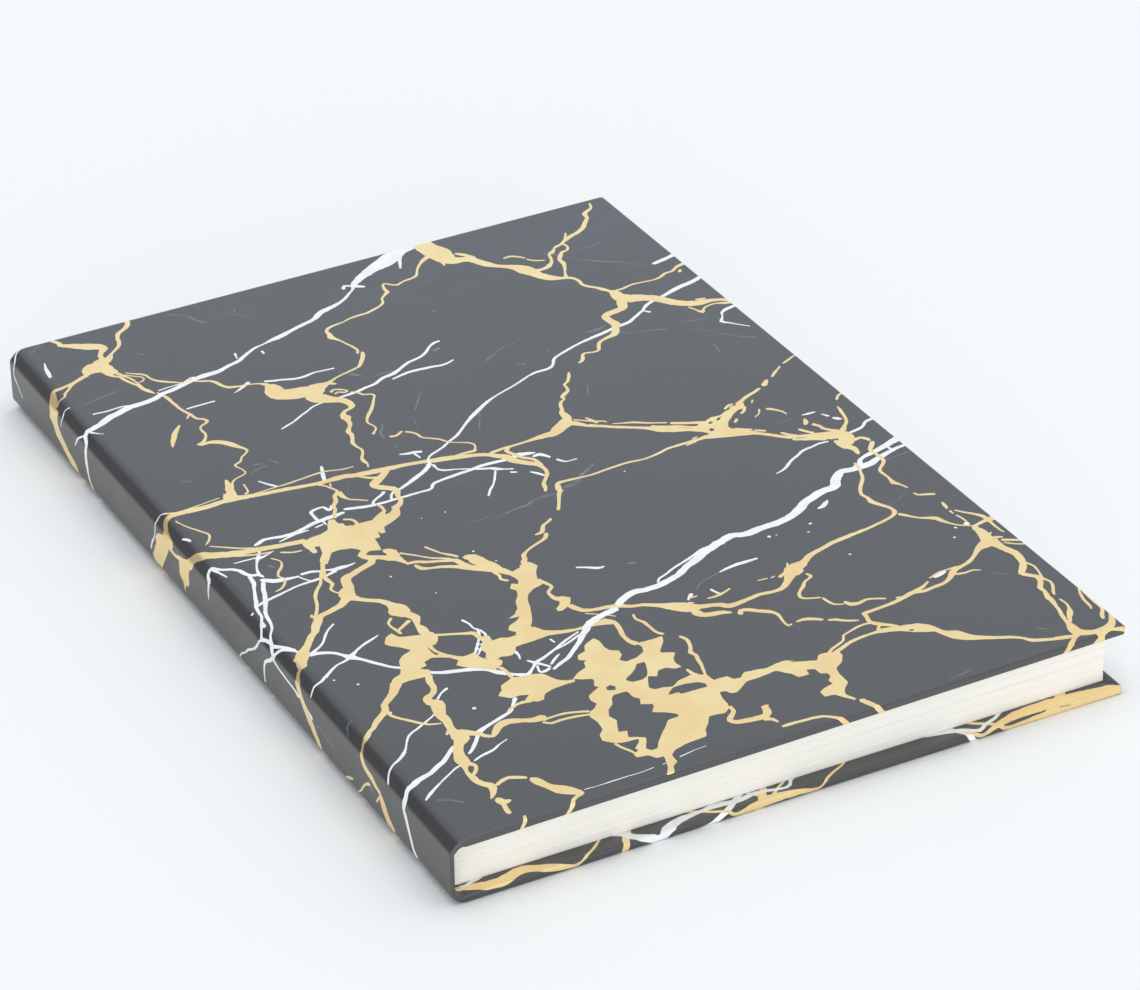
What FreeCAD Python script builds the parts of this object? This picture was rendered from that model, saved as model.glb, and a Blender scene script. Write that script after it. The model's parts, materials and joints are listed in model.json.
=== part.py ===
import FreeCAD
import Part
import Sketcher
import math
import os

# Hardcover notebook, closed, lying on its back cover.
# X runs from the spine (-X) to the fore edge (+X), Y from the tail (-Y) to the head (+Y), +Z is up.
# The origin is in the middle of the back cover's outer face, on the surface that the book lies on.
# The case is three stiff pieces (two boards and a spine strip) in one printed paper wrap.
# The wrap is folded over every edge, bends freely in the two joints beside the spine, and is
# cut into nodes only where a cover swings.

SIZES = [
    ("cover_width", 148.0, "spine face to the covers' fore edge"),
    ("cover_height", 215.0, "tail edge to head edge of the covers"),
    ("spine_thickness", 14.0, "whole thickness beside the spine"),
    ("fore_rise", 1.6, "how much thicker the closed book is at the fore edge"),
    ("board_thickness", 1.5, "greyboard of the covers"),
    ("wrap_thickness", 0.15, "laminated cover paper"),
    ("turn_in", 15.0, "wrap folded onto the inner face along head, tail and fore edge"),
    ("mitre_gap", 0.15, "slit between two turn-ins at a corner"),
    ("mitre_inset", 1.2, "where the slit stops short of the cover's corner"),
    ("edge_round", 0.45, "rounding of the wrapped board edges"),
    ("corner_round", 0.8, "rounding of the wrapped board corners in plan"),
    ("joint_width", 3.3, "spine face to the hinge edge of a board"),
    ("joint_drop", 2.4, "how far the wrap falls from a cover's face to the spine face"),
    ("shoulder_bend", 1.4, "outer radius of the wrap where it leaves a board"),
    ("spine_bend", 0.6, "outer radius of the wrap where it reaches the spine"),
    ("joint_slack", 0.05, "clearance at both ends of a joint strip"),
    ("spine_card", 0.6, "card strip in the spine"),
    ("spine_round", 0.3, "rounding of the wrapped spine at head and tail"),
    ("spine_gap", 0.1, "hollow between the spine's inner face and the lining"),
    ("lining_thickness", 0.2, "cloth lining glued to the back of the pages"),
    ("lining_inset", 9.0, "lining shorter than the pages at each end"),
    ("head_square", 3.6, "covers beyond the pages at head and tail"),
    ("fore_square", 2.4, "covers beyond the pages at the fore edge"),
    ("endpaper_thickness", 0.12, "endpaper pasted inside a cover"),
    ("paper_gap", 0.06, "air between an endpaper and the closed pages"),
]

doc = FreeCAD.newDocument("HardcoverNotebook")
sheet = doc.addObject("Spreadsheet::Sheet", "sizes")
for row, (alias, number, meaning) in enumerate(SIZES, start=1):
    sheet.set(f"A{row}", meaning)
    sheet.set(f"B{row}", str(number))
    sheet.setAlias(f"B{row}", alias)
doc.recompute()


def size(alias):
    """A size read from the sheet, in millimetres."""
    return float(sheet.get(alias))


# Places and lengths worked out from the sheet, as expressions in millimetres.
SPINE_FACE = "(-sizes.cover_width / 2)"
FORE_EDGE = "(sizes.cover_width / 2)"
TAIL_EDGE = "(-sizes.cover_height / 2)"
WRAP = "sizes.wrap_thickness"
HINGE_EDGE = f"({SPINE_FACE} + sizes.joint_width)"
COVER_THICKNESS = f"(sizes.board_thickness + 2 * {WRAP})"
INNER_FACE = f"(sizes.board_thickness + {WRAP})"
SPINE_WALL = f"(sizes.spine_card + 2 * {WRAP})"
SPINE_HEIGHT = "(sizes.spine_thickness - 2 * sizes.joint_drop)"
PAGES_BACK = f"({SPINE_FACE} + {SPINE_WALL} + sizes.spine_gap + sizes.lining_thickness)"
PAGES_WIDTH = f"({FORE_EDGE} - sizes.fore_square - {PAGES_BACK})"
PAGES_HEIGHT = "(sizes.cover_height - 2 * sizes.head_square)"
WINDOW_EDGE = f"({FORE_EDGE} - sizes.turn_in)"
WINDOW_HEIGHT = "(sizes.cover_height - 2 * sizes.turn_in)"
PAGES_BED = f"({COVER_THICKNESS} + sizes.endpaper_thickness + sizes.paper_gap)"
TILT_SLOPE = "(sizes.fore_rise / (sizes.cover_width - sizes.joint_width))"
BEYOND = 1.0


def box(name, corner, lengths):
    """A rectangular solid from its low corner and its three lengths, all as expressions."""
    solid = doc.addObject("Part::Box", name)
    for axis, place in zip("xyz", corner):
        solid.setExpression(f"Placement.Base.{axis}", place)
    for side, length in zip(("Length", "Width", "Height"), lengths):
        solid.setExpression(side, length)
    return solid


def cut(name, label, base, tools):
    """One solid less several others."""
    tool = tools[0]
    if len(tools) > 1:
        tool = doc.addObject("Part::MultiFuse", name + "_tools")
        tool.Shapes = tools
    result = doc.addObject("Part::Cut", name)
    result.Label = label
    result.Base = base
    result.Tool = tool
    return result


def rectangle(body, name, plane_role, corner, width, height):
    """A sketched rectangle whose low corner sits at the given place of an origin plane."""
    sketch = body.newObject("Sketcher::SketchObject", name)
    plane = [p for p in body.Origin.OriginFeatures if p.Role == plane_role][0]
    sketch.AttachmentSupport = [(plane, "")]
    sketch.MapMode = "FlatFace"
    for axis, place in zip("xyz", corner):
        sketch.setExpression(f"AttachmentOffset.Base.{axis}", place)
    points = [FreeCAD.Vector(0, 0), FreeCAD.Vector(9, 0), FreeCAD.Vector(9, 5), FreeCAD.Vector(0, 5)]
    for start, end in zip(points, points[1:] + points[:1]):
        sketch.addGeometry(Part.LineSegment(start, end))
    for line in range(4):
        sketch.addConstraint(Sketcher.Constraint("Coincident", line, 2, (line + 1) % 4, 1))
    sketch.addConstraint(Sketcher.Constraint("Horizontal", 0))
    sketch.addConstraint(Sketcher.Constraint("Vertical", 1))
    sketch.addConstraint(Sketcher.Constraint("Horizontal", 2))
    sketch.addConstraint(Sketcher.Constraint("Vertical", 3))
    sketch.addConstraint(Sketcher.Constraint("Coincident", 0, 1, -1, 1))
    across = sketch.addConstraint(Sketcher.Constraint("DistanceX", 0, 1, 0, 2, 9.0))
    along = sketch.addConstraint(Sketcher.Constraint("DistanceY", 1, 1, 1, 2, 5.0))
    sketch.setExpression(f"Constraints[{across}]", width)
    sketch.setExpression(f"Constraints[{along}]", height)
    return sketch


def pad(body, name, sketch, length):
    """The sketch raised by a length."""
    feature = body.newObject("PartDesign::Pad", name)
    feature.Profile = sketch
    feature.setExpression("Length", length)
    sketch.Visibility = False
    doc.recompute()
    return feature


def fillet(body, name, feature, keep, radius):
    """Rounds every edge that keep() picks by its middle point and direction."""
    edges = []
    for index, edge in enumerate(feature.Shape.Edges, start=1):
        middle = edge.valueAt((edge.FirstParameter + edge.LastParameter) / 2)
        direction = edge.tangentAt((edge.FirstParameter + edge.LastParameter) / 2)
        if keep(middle, direction):
            edges.append(f"Edge{index}")
    rounded = body.newObject("PartDesign::Fillet", name)
    rounded.Base = (feature, edges)
    rounded.setExpression("Radius", radius)
    doc.recompute()
    return rounded


def upright(direction):
    """True for an edge that runs along Z."""
    return abs(direction.z) > 0.99


def rounded_plate(name, corner, lengths, corner_radius, edge_radius):
    """A plate in a cover's own frame: square at the hinge, rounded along the other three edges."""
    body = doc.addObject("PartDesign::Body", name)
    sketch = rectangle(body, name + "_outline", "XY_Plane", corner, lengths[0], lengths[1])
    plate = pad(body, name + "_plate", sketch, lengths[2])
    fore = plate.Shape.BoundBox.XMax
    hinge = plate.Shape.BoundBox.XMin
    corners = fillet(body, name + "_corners", plate,
                     lambda at, way: upright(way) and at.x > fore - 0.01, corner_radius)
    fillet(body, name + "_edges", corners,
           lambda at, way: not upright(way) and at.x > hinge + 0.01, edge_radius)
    return body


def front_placement(target, tilted):
    """Turns a piece from the back cover's frame over to the front cover's place.

    The tilt opens the cover towards the fore edge about the outer corner of its hinge edge."""
    turn_over = ("placement(vector(0; 0; sizes.spine_thickness); "
                 "rotation(vector(1; 0; 0); 180))")
    if tilted:
        pivot = f"vector({HINGE_EDGE}; 0; sizes.spine_thickness)"
        pivot_back = f"vector(-({HINGE_EDGE}); 0; -sizes.spine_thickness)"
        lean = (f"placement({pivot}; rotation(vector(0; -1; 0); atan({TILT_SLOPE}))) * "
                f"placement({pivot_back}; rotation(vector(0; 0; 1); 0))")
        turn_over = f"{lean} * {turn_over}"
    target.setExpression("Placement", turn_over)


def cover_board(side):
    """The greyboard of a cover, square cut at the hinge and softened along the wrapped edges."""
    corner = (HINGE_EDGE, f"{TAIL_EDGE} + {WRAP}", WRAP)
    lengths = (f"{FORE_EDGE} - {WRAP} - {HINGE_EDGE}",
               f"sizes.cover_height - 2 * {WRAP}",
               "sizes.board_thickness")
    board = rounded_plate(f"{side}_board", corner, lengths,
                          f"sizes.corner_round - {WRAP}", f"sizes.edge_round - {WRAP}")
    board.Label = f"{side}_board"
    return board


def mitre_slit(name, end):
    """The 45 degree slit between two turn-ins at the head (end = 1) or tail (end = -1).

    It is centred on the diagonal and starts one slit width inside the window."""
    half = "sizes.mitre_gap * sqrt(2) / 4"
    slit = doc.addObject("Part::Box", name)
    slit.Placement.Rotation = FreeCAD.Rotation(FreeCAD.Vector(0, 0, 1), 45 * end)
    slit.setExpression("Length", "(sizes.turn_in - sizes.mitre_inset) * sqrt(2) + sizes.mitre_gap")
    slit.setExpression("Width", "sizes.mitre_gap")
    slit.setExpression("Height", COVER_THICKNESS)
    slit.setExpression("Placement.Base.x", f"{WINDOW_EDGE} + {end} * {half} - 2 * {half}")
    slit.setExpression("Placement.Base.y", f"{end} * ({WINDOW_HEIGHT} / 2 - 2 * {half}) - {half}")
    slit.setExpression("Placement.Base.z", f"{INNER_FACE} - sizes.board_thickness / 2")
    return slit


def cover_wrap(side):
    """The wrap of one cover: its outer panel, the rounded edges and the three turn-ins."""
    name = f"{side}_wrap"
    envelope = rounded_plate(name + "_envelope", (HINGE_EDGE, TAIL_EDGE, "0"),
                             (f"{FORE_EDGE} - {HINGE_EDGE}", "sizes.cover_height", COVER_THICKNESS),
                             "sizes.corner_round", "sizes.edge_round")
    hollow = rounded_plate(name + "_hollow",
                           (f"{HINGE_EDGE} - {BEYOND}", f"{TAIL_EDGE} + {WRAP}", WRAP),
                           (f"{FORE_EDGE} - {WRAP} - {HINGE_EDGE} + {BEYOND}",
                            f"sizes.cover_height - 2 * {WRAP}", "sizes.board_thickness"),
                           f"sizes.corner_round - {WRAP}", f"sizes.edge_round - {WRAP}")
    window = box(name + "_window",
                 (f"{HINGE_EDGE} - {BEYOND}", f"-{WINDOW_HEIGHT} / 2",
                  f"{INNER_FACE} - sizes.board_thickness / 2"),
                 (f"{WINDOW_EDGE} - {HINGE_EDGE} + {BEYOND}", WINDOW_HEIGHT, COVER_THICKNESS))
    slits = [mitre_slit(f"{name}_mitre_{word}", end) for word, end in (("head", 1), ("tail", -1))]
    return cut(name, name, envelope, [hollow, window] + slits)


def cover_endpaper(side):
    """The pasted-down endpaper, which steps up from the bare board onto the turn-ins."""
    name = f"{side}_endpaper"
    paper = "sizes.endpaper_thickness"
    width = f"{FORE_EDGE} - sizes.fore_square - {PAGES_BACK}"
    blank = box(name + "_blank", (PAGES_BACK, f"-{PAGES_HEIGHT} / 2", INNER_FACE),
                (width, PAGES_HEIGHT, f"{WRAP} + {paper}"))
    tray = box(name + "_tray",
               (f"{PAGES_BACK} - {BEYOND}", f"-{WINDOW_HEIGHT} / 2 + {paper}", f"{INNER_FACE} + {paper}"),
               (f"{WINDOW_EDGE} - {PAGES_BACK} + {BEYOND} - {paper}",
                f"{WINDOW_HEIGHT} - 2 * {paper}", f"{BEYOND}"))
    under = box(name + "_under",
                (f"{PAGES_BACK} - {BEYOND}", TAIL_EDGE, f"{INNER_FACE} - {BEYOND}"),
                ("sizes.cover_width", "sizes.cover_height", f"{BEYOND} + {WRAP}"))
    bed = box(name + "_bed",
              (f"{PAGES_BACK} - 2 * {BEYOND}", f"-{WINDOW_HEIGHT} / 2", f"{INNER_FACE} - 2 * {BEYOND}"),
              (f"{WINDOW_EDGE} - {PAGES_BACK} + 2 * {BEYOND}", WINDOW_HEIGHT, f"4 * {BEYOND}"))
    frame_under = cut(name + "_frame_under", name + "_frame_under", under, [bed])
    return cut(name, name, blank, [tray, frame_under])


def joint_profile(depth):
    """The outer line of a joint and the same line one depth inside it, as one closed face.

    The line leaves the spine face downwards, bends, runs straight down the slope and bends
    again into the outer face of the back board. It lies in the XZ plane."""
    spine_x = -size("cover_width") / 2
    slack = size("joint_slack")
    start = FreeCAD.Vector(spine_x, 0, size("joint_drop"))
    end = FreeCAD.Vector(spine_x + size("joint_width"), 0, 0)
    small = size("spine_bend")
    large = size("shoulder_bend")
    small_centre = start + FreeCAD.Vector(small, 0, 0)
    large_centre = end + FreeCAD.Vector(0, 0, large)
    between = large_centre - small_centre
    # The slope touches both bends, which gives the angle that the first bend turns through.
    turn = math.atan2(between.z, between.x) + math.acos((large - small) / between.Length)

    def spot(centre, radius, angle):
        return centre - FreeCAD.Vector(radius * math.cos(angle), 0, radius * math.sin(angle))

    def line(inset):
        first = small - inset
        second = large - inset
        slack_point = FreeCAD.Vector(0, 0, -slack)
        points = [spot(small_centre, first, 0) + slack_point,
                  spot(small_centre, first, turn / 2), spot(small_centre, first, turn),
                  spot(large_centre, second, turn), spot(large_centre, second, (turn + math.pi / 2) / 2),
                  spot(large_centre, second, math.pi / 2) - FreeCAD.Vector(slack, 0, 0)]
        return points

    outer = line(0.0)
    inner = line(depth)
    edges = [Part.Arc(*outer[0:3]).toShape(), Part.makeLine(outer[2], outer[3]),
             Part.Arc(*outer[3:6]).toShape(), Part.makeLine(outer[5], inner[5]),
             Part.Arc(inner[5], inner[4], inner[3]).toShape(), Part.makeLine(inner[3], inner[2]),
             Part.Arc(inner[2], inner[1], inner[0]).toShape(), Part.makeLine(inner[0], outer[0])]
    return Part.Face(Part.Wire(edges))


def joint_strip(side):
    """The free strip of wrap between a board and the spine, doubled by its turn-ins."""
    height = size("cover_height")
    turn_in = size("turn_in")
    wrap = size("wrap_thickness")
    tail = FreeCAD.Vector(0, -height / 2, 0)
    single = joint_profile(wrap).translated(tail).extrude(FreeCAD.Vector(0, height, 0))
    double = joint_profile(2 * wrap)
    turn_in_tail = double.translated(tail).extrude(FreeCAD.Vector(0, turn_in, 0))
    turn_in_head = double.translated(-tail).extrude(FreeCAD.Vector(0, -turn_in, 0))
    strip = doc.addObject("Part::Feature", f"{side}_joint")
    strip.Label = f"{side}_joint"
    strip.Shape = single.fuse([turn_in_tail, turn_in_head]).removeSplitter()
    return strip


def cover(side):
    """The pieces of one cover with its joint strip, in the back cover's frame."""
    board = cover_board(side)
    wrap = cover_wrap(side)
    endpaper = cover_endpaper(side)
    strip = joint_strip(side)
    if side == "front":
        for piece in (board, wrap, endpaper):
            front_placement(piece, tilted=True)
        front_placement(strip, tilted=False)
    return [board, wrap, endpaper, strip]


def spine_plate(name, inset, thickness, round_radius):
    """An upright strip of the spine, rounded where the wrap folds over it at head and tail."""
    body = doc.addObject("PartDesign::Body", name)
    sketch = rectangle(body, name + "_outline", "XY_Plane",
                       (f"{SPINE_FACE} + {inset}", f"{TAIL_EDGE} + {inset}", "sizes.joint_drop"),
                       thickness, f"sizes.cover_height - 2 * {inset}")
    strip = pad(body, name + "_strip", sketch, SPINE_HEIGHT)
    fillet(body, name + "_folds", strip, lambda at, way: upright(way), round_radius)
    return body


def spine_pieces():
    """The card strip of the spine and the wrap that is folded over its head and tail."""
    card = spine_plate("spine_board", WRAP, "sizes.spine_card", f"sizes.spine_round - {WRAP}")
    card.Label = "spine_board"
    envelope = spine_plate("spine_wrap_envelope", "0", SPINE_WALL, "sizes.spine_round")
    hollow = spine_plate("spine_wrap_hollow", WRAP, "sizes.spine_card", f"sizes.spine_round - {WRAP}")
    window = box("spine_wrap_window",
                 (f"{SPINE_FACE} + {SPINE_WALL} - {WRAP} - sizes.spine_card / 2", f"-{WINDOW_HEIGHT} / 2",
                  f"sizes.joint_drop - {BEYOND}"),
                 (SPINE_WALL, WINDOW_HEIGHT, f"{SPINE_HEIGHT} + 2 * {BEYOND}"))
    wrap = cut("spine_wrap", "spine_wrap", envelope, [hollow, window])
    return [card, wrap]


def pages_top(place):
    """Height of the pages' top under the tilted front cover at an X place, as an expression."""
    return (f"(sizes.spine_thickness + ({place} - {HINGE_EDGE}) * {TILT_SLOPE} - "
            f"{PAGES_BED} * sqrt(1 + {TILT_SLOPE} * {TILT_SLOPE}))")


def text_block():
    """All the pages as one wedge, a little thicker at the fore edge than at the spine."""
    body = doc.addObject("PartDesign::Body", "text_block")
    body.Label = "text_block"
    sketch = body.newObject("Sketcher::SketchObject", "text_block_section")
    plane = [p for p in body.Origin.OriginFeatures if p.Role == "XZ_Plane"][0]
    sketch.AttachmentSupport = [(plane, "")]
    sketch.MapMode = "FlatFace"
    sketch.setExpression("AttachmentOffset.Base.x", PAGES_BACK)
    sketch.setExpression("AttachmentOffset.Base.y", PAGES_BED)
    sketch.setExpression("AttachmentOffset.Base.z", f"-{PAGES_HEIGHT} / 2")
    points = [FreeCAD.Vector(0, 0), FreeCAD.Vector(90, 0), FreeCAD.Vector(90, 12), FreeCAD.Vector(0, 10)]
    for start, end in zip(points, points[1:] + points[:1]):
        sketch.addGeometry(Part.LineSegment(start, end))
    for line in range(4):
        sketch.addConstraint(Sketcher.Constraint("Coincident", line, 2, (line + 1) % 4, 1))
    sketch.addConstraint(Sketcher.Constraint("Coincident", 0, 1, -1, 1))
    sketch.addConstraint(Sketcher.Constraint("Horizontal", 0))
    sketch.addConstraint(Sketcher.Constraint("Vertical", 1))
    sketch.addConstraint(Sketcher.Constraint("Vertical", 3))
    width = sketch.addConstraint(Sketcher.Constraint("DistanceX", 0, 1, 0, 2, 90.0))
    fore = sketch.addConstraint(Sketcher.Constraint("DistanceY", 1, 1, 1, 2, 12.0))
    back = sketch.addConstraint(Sketcher.Constraint("DistanceY", 3, 2, 3, 1, 10.0))
    sketch.setExpression(f"Constraints[{width}]", PAGES_WIDTH)
    sketch.setExpression(f"Constraints[{fore}]", f"{pages_top(f'({PAGES_BACK} + {PAGES_WIDTH})')} - {PAGES_BED}")
    sketch.setExpression(f"Constraints[{back}]", f"{pages_top(PAGES_BACK)} - {PAGES_BED}")
    pad(body, "text_block_pages", sketch, PAGES_HEIGHT)
    return body


def spine_lining():
    """The cloth lining glued to the back of the pages."""
    lining = box("spine_lining",
                 (f"{PAGES_BACK} - sizes.lining_thickness",
                  f"-{PAGES_HEIGHT} / 2 + sizes.lining_inset", PAGES_BED),
                 ("sizes.lining_thickness", f"{PAGES_HEIGHT} - 2 * sizes.lining_inset",
                  f"{pages_top(PAGES_BACK)} - {PAGES_BED}"))
    lining.Label = "spine_lining"
    return lining


pieces = [text_block(), spine_lining()]
pieces += spine_pieces()
pieces += cover("back")
pieces += cover("front")
doc.recompute()

for item in doc.Objects:
    if "Invalid" in item.State or "Error" in item.State:
        raise RuntimeError(f"{item.Name} failed: {item.State}")
for piece in pieces:
    shape = piece.Shape
    if shape.isNull() or not shape.isValid() or len(shape.Solids) != 1:
        raise RuntimeError(f"{piece.Label} is not one valid solid")

os.makedirs("parts", exist_ok=True)
for piece in pieces:
    piece.Shape.exportStep(f"parts/{piece.Label}.step")
    extent = piece.Shape.BoundBox
    print(f"{piece.Label}: {piece.Shape.Volume:.1f} mm3, "
          f"x {extent.XMin:.2f} to {extent.XMax:.2f}, y {extent.YMin:.2f} to {extent.YMax:.2f}, "
          f"z {extent.ZMin:.2f} to {extent.ZMax:.2f}")
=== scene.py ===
"""Hardcover notebook with a marbled cover, closed, lying on its back cover.

Plain lengths in this file are millimetres in the frame of the CAD model; MM turns them into metres.
The cover paper is drawn flat: u runs across the cover from the hinge edge of the board (0) to the
fore edge (144.7), and below 0 over the joint and down the spine; v runs from tail to head.
"""

import json
import math
import random

import bmesh
import bpy
from mathutils import Matrix, Vector, noise
from mathutils.geometry import delaunay_2d_cdt

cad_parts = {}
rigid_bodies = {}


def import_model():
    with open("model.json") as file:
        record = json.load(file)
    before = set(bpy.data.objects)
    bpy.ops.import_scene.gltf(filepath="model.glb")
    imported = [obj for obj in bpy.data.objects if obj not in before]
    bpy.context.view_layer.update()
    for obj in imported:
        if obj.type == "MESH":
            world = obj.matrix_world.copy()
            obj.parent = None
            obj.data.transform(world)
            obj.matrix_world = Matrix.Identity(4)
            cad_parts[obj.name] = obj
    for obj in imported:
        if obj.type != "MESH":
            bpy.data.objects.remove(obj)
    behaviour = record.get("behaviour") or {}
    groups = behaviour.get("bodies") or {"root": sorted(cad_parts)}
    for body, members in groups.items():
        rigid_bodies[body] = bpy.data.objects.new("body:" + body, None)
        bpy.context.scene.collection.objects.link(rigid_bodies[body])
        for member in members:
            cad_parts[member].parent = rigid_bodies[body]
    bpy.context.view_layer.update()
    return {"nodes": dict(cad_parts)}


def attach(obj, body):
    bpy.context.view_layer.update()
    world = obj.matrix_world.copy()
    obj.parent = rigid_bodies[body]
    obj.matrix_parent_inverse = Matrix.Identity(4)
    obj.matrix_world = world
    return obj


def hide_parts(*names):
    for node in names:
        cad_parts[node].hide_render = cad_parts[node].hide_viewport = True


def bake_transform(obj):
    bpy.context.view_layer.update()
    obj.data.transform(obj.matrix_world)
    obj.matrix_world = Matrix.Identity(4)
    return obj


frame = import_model()
bpy.ops.object.select_all(action="DESELECT")

MM = 0.001

# Sizes of the case
SPINE_X = -74.0  # outer face of the spine
HINGE_X, HINGE_Z = -70.7, 14.0  # hinge edge of the front board, at its upper face
COVER_U, FORE_X = 144.7, 74.0  # from there to the fore edge, and where that is
FORE_RISE = 1.6  # how much the front cover rises to the fore edge
TILT = math.atan(FORE_RISE / COVER_U)
HALF_HEIGHT = 107.5
CORNER = 0.8  # rounding of the corners in plan
WRAP = 0.15  # cover paper
TURN_IN = 15.0
# Thickness of the folded edge and the rounding of its rims, on board, joint and spine
BOARD_BUILD, BOARD_EDGE = 1.8, 0.45
JOINT_BUILD, JOINT_EDGE = 1.1, 0.35
SPINE_BUILD, SPINE_EDGE = 0.9, 0.3
# Under the block the turn-in lies closer over the joint; the steps at the board's edge are this wide
JOINT_FOLDED, TURN_IN_RISE = 0.3, 2.0
BOARD_STEP = 0.4

# The outer line from a board's hinge edge to the spine face: shoulder bend, slope, spine bend
SHOULDER_R, SHOULDER_TURN = 3.0, math.radians(50)
SLOPE = 1.121
SPINE_R, SPINE_TURN = 1.2, math.radians(40)
SPINE_DROP = 2.7  # from the cover's face down to the spine's flat face
SHOULDER_ARC = SHOULDER_R * SHOULDER_TURN
SPINE_ARC = SPINE_R * SPINE_TURN
BEND_END = SHOULDER_ARC + SLOPE + SPINE_ARC
MID_SPINE = BEND_END + HINGE_Z / 2 - SPINE_DROP
JOINT_U = -4.25  # where the cover's sheet meets the spine's
SPINE_U = -2 * MID_SPINE - JOINT_U  # the same at the back cover

# Lengths along the sheet over a folded edge, from its last flat line to the inner face
RECT_U = COVER_U - CORNER
RECT_V = HALF_HEIGHT - CORNER
EDGE_FLAT = CORNER - BOARD_EDGE
EDGE_ARC = BOARD_EDGE * math.pi / 2
EDGE_SIDE = BOARD_BUILD - 2 * BOARD_EDGE
BREAKS = [0.0, EDGE_FLAT, EDGE_FLAT + EDGE_ARC, EDGE_FLAT + EDGE_ARC + EDGE_SIDE,
          EDGE_FLAT + 2 * EDGE_ARC + EDGE_SIDE, 2 * EDGE_FLAT + 2 * EDGE_ARC + EDGE_SIDE]
FLAP = TURN_IN - CORNER
FOLDED = BREAKS[5]
HIDDEN_FROM = 3.7  # from the rim inwards the block hides the turn-in
TURN_IN_START = FOLDED + HIDDEN_FROM - CORNER
SHEET_V = RECT_V + FOLDED + FLAP
SHEET_U = RECT_U + FOLDED + FLAP
MITRE_GAP = 0.1

# How finely the bends are creased
ARC_STEPS = 5
CORNER_STEPS = 10
SHOULDER_STEPS, FLAT_STEPS = 12, 3
SLOPE_RUNS = (0, 0.37, 0.96, SLOPE)

# Sizes of the block and the endpapers; an endpaper lies on the board's inner face
BLOCK_X0, BLOCK_X1 = -72.8, 71.6
BLOCK_Y = 103.9
BLOCK_Z0, BLOCK_Z1 = 1.98, 12.0
BLOCK_WIDTH = BLOCK_X1 - BLOCK_X0
ENDPAPER = 0.12
INNER_FACE = 1.65


def lerp(a, b, t):
    return a + (b - a) * t


def clamp(t, low=0.0, high=1.0):
    return max(low, min(high, t))


def sheet_line(u, tilt):
    """Point (x, z) and outward normal of the front case line at u, spine face included."""
    if u >= 0:
        return ((HINGE_X + u * math.cos(tilt), HINGE_Z + u * math.sin(tilt)),
                (-math.sin(tilt), math.cos(tilt)))
    t = -u
    if t > MID_SPINE:
        (x, z), (nx, nz) = sheet_line(t - 2 * MID_SPINE, 0.0)
        return (x, HINGE_Z - z), (nx, -nz)
    if t <= SHOULDER_ARC:
        a = t / SHOULDER_R
        return ((HINGE_X - SHOULDER_R * math.sin(a), HINGE_Z - SHOULDER_R * (1 - math.cos(a))),
                (-math.sin(a), math.cos(a)))
    run = min(t - SHOULDER_ARC, SLOPE)
    x = HINGE_X - SHOULDER_R * math.sin(SHOULDER_TURN) - run * math.cos(SHOULDER_TURN)
    z = HINGE_Z - SHOULDER_R * (1 - math.cos(SHOULDER_TURN)) - run * math.sin(SHOULDER_TURN)
    if t <= SHOULDER_ARC + SLOPE:
        return (x, z), (-math.sin(SHOULDER_TURN), math.cos(SHOULDER_TURN))
    if t < BEND_END:
        a = SHOULDER_TURN + (t - SHOULDER_ARC - SLOPE) / SPINE_R
        return ((x - SPINE_R * (math.sin(a) - math.sin(SHOULDER_TURN)),
                 z - SPINE_R * (math.cos(SHOULDER_TURN) - math.cos(a))), (-math.sin(a), math.cos(a)))
    return (SPINE_X, HINGE_Z - SPINE_DROP - (t - BEND_END)), (-1.0, 0.0)


def build_up(u):
    """Thickness of the folded edge and its rounding at u: board, joint and spine differ."""
    if u >= 0:
        return BOARD_BUILD, BOARD_EDGE
    t = -u / SHOULDER_ARC
    if t < 1:
        return lerp(BOARD_BUILD, JOINT_BUILD, t), lerp(BOARD_EDGE, JOINT_EDGE, t)
    t = clamp((-u - SHOULDER_ARC) / (BEND_END - SHOULDER_ARC))
    return lerp(JOINT_BUILD, SPINE_BUILD, t), lerp(JOINT_EDGE, SPINE_EDGE, t)


def turn_in_depth(u):
    """How deep the turn-in lies well inside the rim: on the board, against the joint, on the card."""
    if u < -BOARD_STEP:
        return lerp(JOINT_FOLDED, SPINE_BUILD, clamp((-u - SHOULDER_ARC - SLOPE) / BOARD_STEP))
    return lerp(BOARD_BUILD, JOINT_FOLDED, clamp(-u / BOARD_STEP))


def fold(s, build, edge):
    """How far out and how deep the sheet lies at s beyond the inner rectangle of a folded edge."""
    flat = CORNER - edge
    if s <= BREAKS[1]:
        return flat * s / BREAKS[1], 0.0
    if s <= BREAKS[2]:
        a = (s - BREAKS[1]) / BOARD_EDGE
        return flat + edge * math.sin(a), edge * (1 - math.cos(a))
    if s <= BREAKS[3]:
        t = (s - BREAKS[2]) / (BREAKS[3] - BREAKS[2])
        return CORNER, lerp(edge, build - edge, t)
    if s <= BREAKS[4]:
        a = (s - BREAKS[3]) / BOARD_EDGE
        return flat + edge * math.cos(a), build - edge + edge * math.sin(a)
    if s <= BREAKS[5]:
        return flat * (1 - (s - BREAKS[4]) / (BREAKS[5] - BREAKS[4])), build
    return -(s - BREAKS[5]), build


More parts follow.
